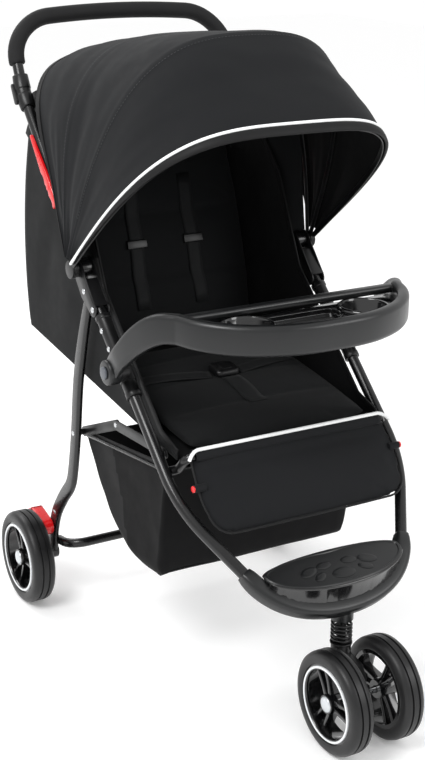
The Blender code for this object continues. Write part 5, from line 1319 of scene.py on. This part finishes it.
# %% Side panels
for word, side in SIDES:
    grid = []
    for i in range(37):
        share = i / 36
        angle = math.radians(97 + 50 * share)
        x = 0.1815 + 0.0320 * (1 - min(1.0, share / 0.42)) ** 1.3
        square = 3.3 + 0.7 * min(1.0, share * 1.6)
        reach = 0.343 + 0.018 * min(1.0, share * 1.6)
        most = reach * (1 - (x / HOOD_W) ** square) ** (1 / square) - 0.004
        row = []
        for k in range(25):
            far = 0.012 + (most - 0.012) * k / 24
            soft = 0.0014 * noise.noise(at(share * 5, far * 22, side * 4.0))
            row.append(MAIN_PIVOT + side * (x + soft) * X + far * at(0, -math.cos(angle), math.sin(angle)))
        grid.append(row)
    panel = cloth("side_panel_" + word, grid, SEAT_CLOTH, 0.0010,
                  0.0)
    settle(panel, "frame")

# %% Back curtain
rear = curve([at(0, 0.1140, 0.4702), at(0, 0.1170, 0.530), at(0, 0.1155, 0.610), at(0, 0.100, 0.690),
              at(0, 0.090, 0.780), at(0, 0.070, 0.872)], 8)
grid = []
for i, p in enumerate(rear):
    v = i / (len(rear) - 1)
    row = []
    for k in range(121):
        u = k / 120
        x = 0.1757 * (2 * u - 1)
        wave = 0.0045 * math.sin(19 * u + 2.0 * math.sin(3 * v)) + 0.0025 * math.sin(43 * u + 5 * v)
        row.append(at(x, p.y + math.sin(math.pi * v) ** 0.7 * wave, p.z))
    grid.append(row)
curtain = cloth("back_curtain_v", grid, SEAT_CLOTH, 0.0012)
settle(curtain, None)
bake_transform(curtain)

# %% [markdown]
# ## Seat, backrest and leg rest
#
# Each pad is blown up with a little pressure while its sewn channels and rim stay put, so the cloth
# swells between the seams as filled pads do. Sculpting could do this too, but the simulation gives every pad
# its own swell, and a cap on how far a point may move keeps it near its CAD box.


# %% The outline and thickness of a pad
def pad_half(u, v, thick, crown, channels):
    """Half the pad's thickness at (u, v), thin at its rim and pressed in along its sewn channels."""
    edge_now = 0.16 + 0.84 * max(0.0, (1 - u ** 4) * (1 - v ** 4)) ** 0.30
    height = thick / 2 + crown * (1 - u * u) * (1 - v * v)
    for line in channels:
        height -= 0.0045 * math.exp(-((v - line) / 0.040) ** 2) * (1 - u ** 6)
    return height * edge_now


def pad_xy(u, v, half_w, half_l, corner):
    """Where (u, v) lies in the pad's plane; `corner` is the radius of the two corners at its far end."""
    x = half_w * u * math.sqrt(1 - 0.10 * v * v) * (1 - 0.03 * (1 - v * v))
    y = half_l * v * math.sqrt(1 - 0.10 * u * u) * (1 - 0.03 * (1 - u * u))
    past = abs(half_w * u) - (half_w - corner)
    if corner and v > 0 and past > 0:
        y *= 1 - (corner - math.sqrt(max(0.0, corner * corner - past * past))) / half_l
    return x, y


# %% One pad
def pad(name, half_w, half_l, thick, crown, place, channels, material, cap=0.010, corner=0.0):
    """A sewn pad, modelled a little small and then inflated with its seams held."""
    shape = bmesh.new()
    ease, count_u, count_v = 0.0022, 64, 56
    sheets = []
    for sign, rise, lines in ((1, crown, channels), (-1, 0.0, ())):
        rows = []
        for j in range(count_v + 1):
            v = math.sin(math.pi / 2 * (2 * j / count_v - 1))
            row = []
            for i in range(count_u + 1):
                u = math.sin(math.pi / 2 * (2 * i / count_u - 1))
                x, y = pad_xy(u, v, half_w - ease, half_l - ease, corner)
                row.append(at(x, y, sign * (pad_half(u, v, thick, rise, lines) - ease * 0.6)))
            rows.append(row)
        sheets.append(rows)
    up_v, down_v = [[[shape.verts.new(p) for p in row] for row in rows] for rows in sheets]
    for j in range(count_v):
        for i in range(count_u):
            shape.faces.new((up_v[j][i], up_v[j][i + 1], up_v[j + 1][i + 1], up_v[j + 1][i]))
            shape.faces.new((down_v[j][i], down_v[j + 1][i], down_v[j + 1][i + 1], down_v[j][i + 1]))
    for i in range(count_u):
        shape.faces.new((up_v[0][i], down_v[0][i], down_v[0][i + 1], up_v[0][i + 1]))
        shape.faces.new((up_v[-1][i], up_v[-1][i + 1], down_v[-1][i + 1], down_v[-1][i]))
    for j in range(count_v):
        shape.faces.new((up_v[j][0], up_v[j + 1][0], down_v[j + 1][0], down_v[j][0]))
        shape.faces.new((up_v[j][-1], down_v[j][-1], down_v[j + 1][-1], up_v[j + 1][-1]))
    bmesh.ops.recalc_face_normals(shape, faces=shape.faces)
    data = bpy.data.meshes.new(name)
    shape.to_mesh(data)
    shape.free()
    made = bpy.data.objects.new(name, data)
    bpy.context.scene.collection.objects.link(made)
    # Even faces of 5 mm swell evenly
    remesh = made.modifiers.new("even", "REMESH")
    remesh.mode, remesh.voxel_size = "VOXEL", 0.0050
    applied(made)
    start = [v.co.copy() for v in made.data.vertices]
    held = made.vertex_groups.new(name="held")
    for v in made.data.vertices:
        u_now, v_now = v.co.x / half_w, v.co.y / half_l
        near = min([abs(v_now - line) * half_l for line in channels] + [1.0])
        seam = near < 0.004 and v.co.z > 0
        rim = max(abs(u_now), abs(v_now)) > 0.965
        held.add([v.index], 1.0 if seam or rim else (0.35 if v.co.z < 0 else 0.0), "REPLACE")
    rules = made.modifiers.new("blow", "CLOTH").settings
    rules.use_pressure, rules.uniform_pressure_force = True, 4.0
    rules.vertex_group_mass = "held"
    rules.effector_weights.gravity = 0.0
    rules.quality = 6
    rules.tension_stiffness = rules.compression_stiffness = 12.0
    rules.bending_stiffness = 0.4
    for now in range(1, 17):
        bpy.context.scene.frame_set(now)
    applied(made)
    bpy.context.scene.frame_set(1)
    farthest = 0.0
    for v, was in zip(made.data.vertices, start):
        move = v.co - was
        if move.length > cap:
            v.co = was + move * (cap / move.length)
        farthest = max(farthest, (v.co - was).length)
    print(name, "moved at most", round(farthest * 1000, 1), "mm")
    made.data.transform(SHIFT @ place)
    layer = made.data.uv_layers.new(name="UVMap")
    back = (SHIFT @ place).inverted()
    flat_points = [back @ v.co for v in made.data.vertices]
    for loop in made.data.loops:
        p = flat_points[loop.vertex_index]
        layer.data[loop.index].uv = (p.x, p.y)
    rounder = made.modifiers.new("rounder", "SUBSURF")
    rounder.levels = rounder.render_levels = 1
    applied(made)
    made.data.shade_smooth()
    made.data.materials.clear()
    made.data.materials.append(material)
    return made


# %% Pads in place
SLOPE = (FLOOR_B.z - FLOOR_A.z) / (FLOOR_B.y - FLOOR_A.y)
# Half way between the cushion's front and rear edges
SEAT_MID = (-0.434 - 0.098) / 2
SEAT_TILT = Matrix.Rotation(math.atan(SLOPE), 4, "X")
SEAT_PLACE = (Matrix.Translation((0, SEAT_MID, FLOOR_A.z + SLOPE * (SEAT_MID - FLOOR_A.y))) @ SEAT_TILT
              @ Matrix.Translation((0, 0, 0.0164)))
PAD_W, SEAT_L = 0.168, 0.168 / math.cos(math.atan(SLOPE))
BACK_L = 0.175
BACK_PLACE = (Matrix.Translation(BACK_PIVOT) @ Matrix.Rotation(math.radians(72.0), 4, "X")
              @ Matrix.Translation((0, BACK_L + 0.006, 0)))
REST_FALL = math.radians(51.2)
REST_PLACE = (Matrix.Translation(REST_PIVOT) @ Matrix.Rotation(math.pi + REST_FALL, 4, "X")
              @ Matrix.Translation((0, 0.0625, 0)) @ Matrix.Rotation(math.pi, 4, "Y"))
seat = pad("seat_cushion_v", PAD_W, SEAT_L, 0.026, 0.007, SEAT_PLACE, (-0.45, 0.1, 0.6), SEAT_CLOTH)
settle(seat, "frame")
back = pad("backrest_v", PAD_W, BACK_L, 0.024, 0.006, BACK_PLACE, (-0.35, 0.25), SEAT_CLOTH)
settle(back, "seat_back")
REST_W, REST_L, REST_CORNER = 0.184, 0.0655, 0.036
rest = pad("leg_rest_v", REST_W, REST_L, 0.018, 0.004, REST_PLACE, (-0.62,), CLOTH, corner=REST_CORNER)
settle(rest, "calf_rest")
print("pad points", [len(one.data.vertices) for one in (seat, back, rest)])


# %% Leg-rest cord, bar and buttons
def pad_rim(half_w, half_l, place, height, share, corner, count=40):
    """A closed line round the pad at a height, drawn in to a share of its outline."""
    line = []
    for s in range(4):
        for i in range(count):
            t = -1 + 2 * i / count
            u, v = ((t, -1), (1, t), (-t, 1), (-1, -t))[s]
            x, y = pad_xy(math.sin(math.pi / 2 * u), math.sin(math.pi / 2 * v), half_w, half_l, corner)
            line.append(place @ at(x * share, y * share, height))
    return line


rim = pad_rim(REST_W, REST_L, REST_PLACE, 0.0035, 0.985, REST_CORNER)
put("leg_rest_cord", sweep(rim, disc(0.0017, 10), closed=True), BINDING, "calf_rest")
foot = front_point(0, 0.335)
line = fillet([at(0.1906, foot.y, foot.z), at(0.1766, foot.y, foot.z), at(0.1766, REST_PIVOT.y, REST_PIVOT.z),
               at(-0.1766, REST_PIVOT.y, REST_PIVOT.z), at(-0.1766, foot.y, foot.z), at(-0.1906, foot.y, foot.z)],
              [0.006, 0.012, 0.012, 0.006], 6)
put("seat_front_bar_v", sweep(line, disc(0.007, 20)), PAINT, "frame")
down = at(0, -math.cos(REST_FALL), -math.sin(REST_FALL))
outward = at(0, -math.sin(REST_FALL), math.cos(REST_FALL))
centre = REST_PIVOT + (0.008 + 0.34 * 0.120) * down + 0.0060 * outward
for word, side in SIDES:
    edge_x = side * REST_W * 0.955
    socket = cross_pin(edge_x - side * 0.012, edge_x + side * 0.0072, centre, 0.0056, 0.0010)
    put("leg_rest_socket_" + word, socket, CLOTH, "calf_rest", "dark_grey_plastic")
    button = cross_pin(edge_x + side * 0.0070, edge_x + side * 0.0104, centre, 0.0050, 0.0012)
    put("leg_rest_button_" + word + "_v", button, RED, "calf_button_" + word)
print("cord length", round(sum((a - b).length for a, b in zip(rim, rim[1:] + rim[:1])), 3))

# %% Leg-rest sleeve and white piping
SLEEVE_HALF, SLEEVE_R = 0.1650, 0.0105
rows = []
for k in range(15):
    a = math.radians(-60 + 200 * k / 14)
    lift = SLEEVE_R * (math.cos(a) * outward - math.sin(a) * down)
    rows.append([at(SLEEVE_HALF * (1 - 2 * i / 60), 0, 0) + REST_PIVOT + lift for i in range(61)])
settle(thick_sheet("leg_rest_sleeve", rows, CLOTH, 0.0010), "calf_rest")
line = []
for i in range(61):
    x = 0.1800 * (1 - 2 * i / 60)
    curl = max(0.0, abs(x) - 0.160) / 0.020
    line.append(at(x, 0, 0) + REST_PIVOT + 0.0128 * outward + (0.014 * curl * curl - 0.006) * down)
put("leg_rest_piping", sweep(line, disc(0.0028, 12), soft=0.001), PIPING, "calf_rest", None)
print("piping length", round((line[0] - line[-1]).length, 3))

# %% [markdown]
# ## Harness
#
# Flat webbing lies on the pads, with adjusters on the shoulder straps and a buckle in the middle. The straps
# are laid by dropping points onto the finished pads, so that they follow every channel.


# %% Straps that lie on a pad
def laid(pad_object, points, line, gap=0.0012):
    """Drops points onto a pad along a line and lifts them by a gap, so that a strap lies on it."""
    ahead = at(0, AXLE_Y, 0)
    resting = []
    for p in points:
        hit, where, _, _ = pad_object.ray_cast(p + ahead + 0.05 * line, -line, distance=0.2)
        resting.append(where - ahead + gap * line if hit else p)
    return resting


def webbing(name, route, half_w, body, side_line):
    """A flat strap along a route, its width turned to lie along the side line."""
    rows = []
    count = len(route)
    lines = [(route[min(i + 1, count - 1)] - route[max(i - 1, 0)]).normalized() for i in range(count)]
    for point, line in zip(route, lines):
        across = (Vector(side_line) - Vector(side_line).dot(line) * line).normalized()
        rows.append([point + across * half_w * t for t in (-1, -0.5, 0, 0.5, 1)])
    settle(thick_sheet(name, rows, WEBBING, 0.0016, 0.0), body)


# %% Harness straps
bpy.context.view_layer.update()
seat_up = (SEAT_PLACE.to_3x3() @ UP).normalized()
back_out = (BACK_PLACE.to_3x3() @ UP).normalized()
points = [SEAT_PLACE @ at(0, SEAT_L * (-0.55 + 0.06 * i), 0.02) for i in range(10)]
crotch = laid(seat, points, seat_up)
webbing("crotch_strap_v", crotch, 0.016, "frame", X)
for word, side in SIDES:
    points = [SEAT_PLACE @ at(side * (0.024 + 0.0135 * i), SEAT_L * (0.12 + 0.018 * i), 0.02) for i in range(10)]
    webbing("waist_strap_" + word + "_v", laid(seat, points, seat_up), 0.0125, "frame", (0, 1, 0.12))
    points = [BACK_PLACE @ at(side * (0.056 - 0.0004 * i), BACK_L * (-0.66 + 0.105 * i), 0.02) for i in range(13)]
    rise = laid(back, points, back_out)
    webbing("shoulder_strap_" + word + "_v", rise, 0.0125, "seat_back", X)
    line = (rise[7] - rise[5]).normalized()
    frame_now = Matrix((X, line, back_out)).transposed().to_4x4()
    slide = sweep([at(-0.018, 0, 0), at(0.018, 0, 0)], slab(0.0024, 0.0075, 0.0020, 4), (0, 1, 0), soft=0.001)
    bmesh.ops.transform(slide, matrix=Matrix.Translation(rise[6] + 0.0016 * back_out) @ frame_now, verts=slide.verts)
    put("harness_slide_" + word, slide, MOULDED, "seat_back")
print("crotch strap points", len(crotch))

# %% Harness buckle
top_of_seat = laid(seat, [SEAT_PLACE @ at(0, SEAT_L * 0.12, 0.02)], seat_up)[0]
frame_now = Matrix.Translation(top_of_seat + 0.0066 * seat_up) @ SEAT_TILT
buckle = bmesh.new()
for half_u, half_v, half_z, lift in ((0.022, 0.020, 0.0055, 0.0), (0.0105, 0.0105, 0.0012, 0.0056)):
    rings = []
    for share, z in ((0.86, -half_z), (1.0, -half_z * 0.5), (1.0, half_z * 0.3), (0.93, half_z * 0.8), (0.84, half_z)):
        rings.append([at(u * share, v * share, z + lift) for u, v in slab(half_u, half_v, half_u * 0.45, 6)])
    skin(rings, True, buckle)
bmesh.ops.transform(buckle, matrix=frame_now, verts=buckle.verts)
put("harness_buckle_v", buckle, MOULDED, "frame", weld=0)
print("harness done")

# %% [markdown]
# ## Basket
#
# A sewn tub hangs from a thin rim rod. Its front, floor and sides sag a little; the rear of each side is net.
# It is one sheet again, a section bent along the tub's profile, so that no seam opens between its panels.

# %% Basket
TUB = ((-0.384, 0.374), (-0.377, 0.330), (-0.360, 0.205), (-0.350, 0.178), (-0.325, 0.1735), (-0.262, 0.174),
       (-0.200, 0.204), (-0.158, 0.250), (-0.124, 0.300), (-0.103, 0.3335))
tub = curve([at(0, y, z) for y, z in TUB], 6)
rim_a, rim_b = tub[0], tub[-1]
TUB_HALF = 0.1765
grid = []
for i, p in enumerate(tub):
    u = i / (len(tub) - 1)
    q = rim_a.lerp(rim_b, u)
    row = []
    for k in range(25):
        v = 1 - k / 24
        here = p.lerp(q, v)
        belly = -0.0030 * math.sin(math.pi * v) * math.sin(math.pi * u) + 0.0016 * noise.noise(here * 22)
        round_off = 0.010 * max(0.0, 1 - v / 0.10) ** 2 * math.sin(math.pi * u)
        row.append(at(TUB_HALF + belly * min(1.0, 5 * (1 - v)) - round_off, here.y, here.z))
    floor_row = []
    width = row[-1].x
    for k in range(1, 24):
        x = width * (1 - 2 * k / 24)
        ripple = 0.0022 * noise.noise(at(x * 14, p.y * 14, p.z * 14 + 3))
        inward = at(0, 0.6, 1).normalized() if u < 0.30 else at(0, -0.5, 1).normalized()
        floor_row.append(at(x, p.y, p.z) + inward * (0.0016 + ripple) * math.sin(math.pi * u) ** 0.3)
    grid.append(row + floor_row + mirrored(row))
basket = cloth("basket_v", grid, [LINING, LINING, NETTING], 0.0011, 1.0)
for face in basket.data.polygons:
    middle = face.center - at(0, AXLE_Y, 0)
    if abs(face.normal.x) > 0.8 and middle.y > -0.245 + 0.3 * (middle.z - 0.20):
        face.material_index = 2
settle(basket, "frame")

# %% Basket hems and rim rod
for word, side in SIDES:
    line = [at(side * (TUB_HALF + 0.0004), p.y, p.z) for p in [rim_a.lerp(rim_b, i / 30) for i in range(31)]]
    put("basket_hem_" + word, sweep(line, slab(0.0060, 0.0014, 0.0010, 3), side * X, soft=0.0005), BINDING, "frame")
front_hem = [at(TUB_HALF * (1 - 2 * i / 30), rim_a.y - 0.0006, rim_a.z - 0.004) for i in range(31)]
put("basket_hem_front", sweep(front_hem, slab(0.0050, 0.0012, 0.0010, 3), (0, -1, 0), soft=0.0005), BINDING, "frame")
RIM_X, RIM_R = 0.1799, 0.0030
rod = [at(RIM_X, -0.103, 0.3335), at(RIM_X, -0.384 - 0.0034, 0.374 - 0.0035)]
line = fillet(rod + mirrored(rod), [0.008, 0.008], 8)
put("basket_rim_v", sweep(line, disc(RIM_R, 16), soft=0.001), PAINT, "frame")
print("rim rod length", round(sum((a - b).length for a, b in zip(line, line[1:])), 3))
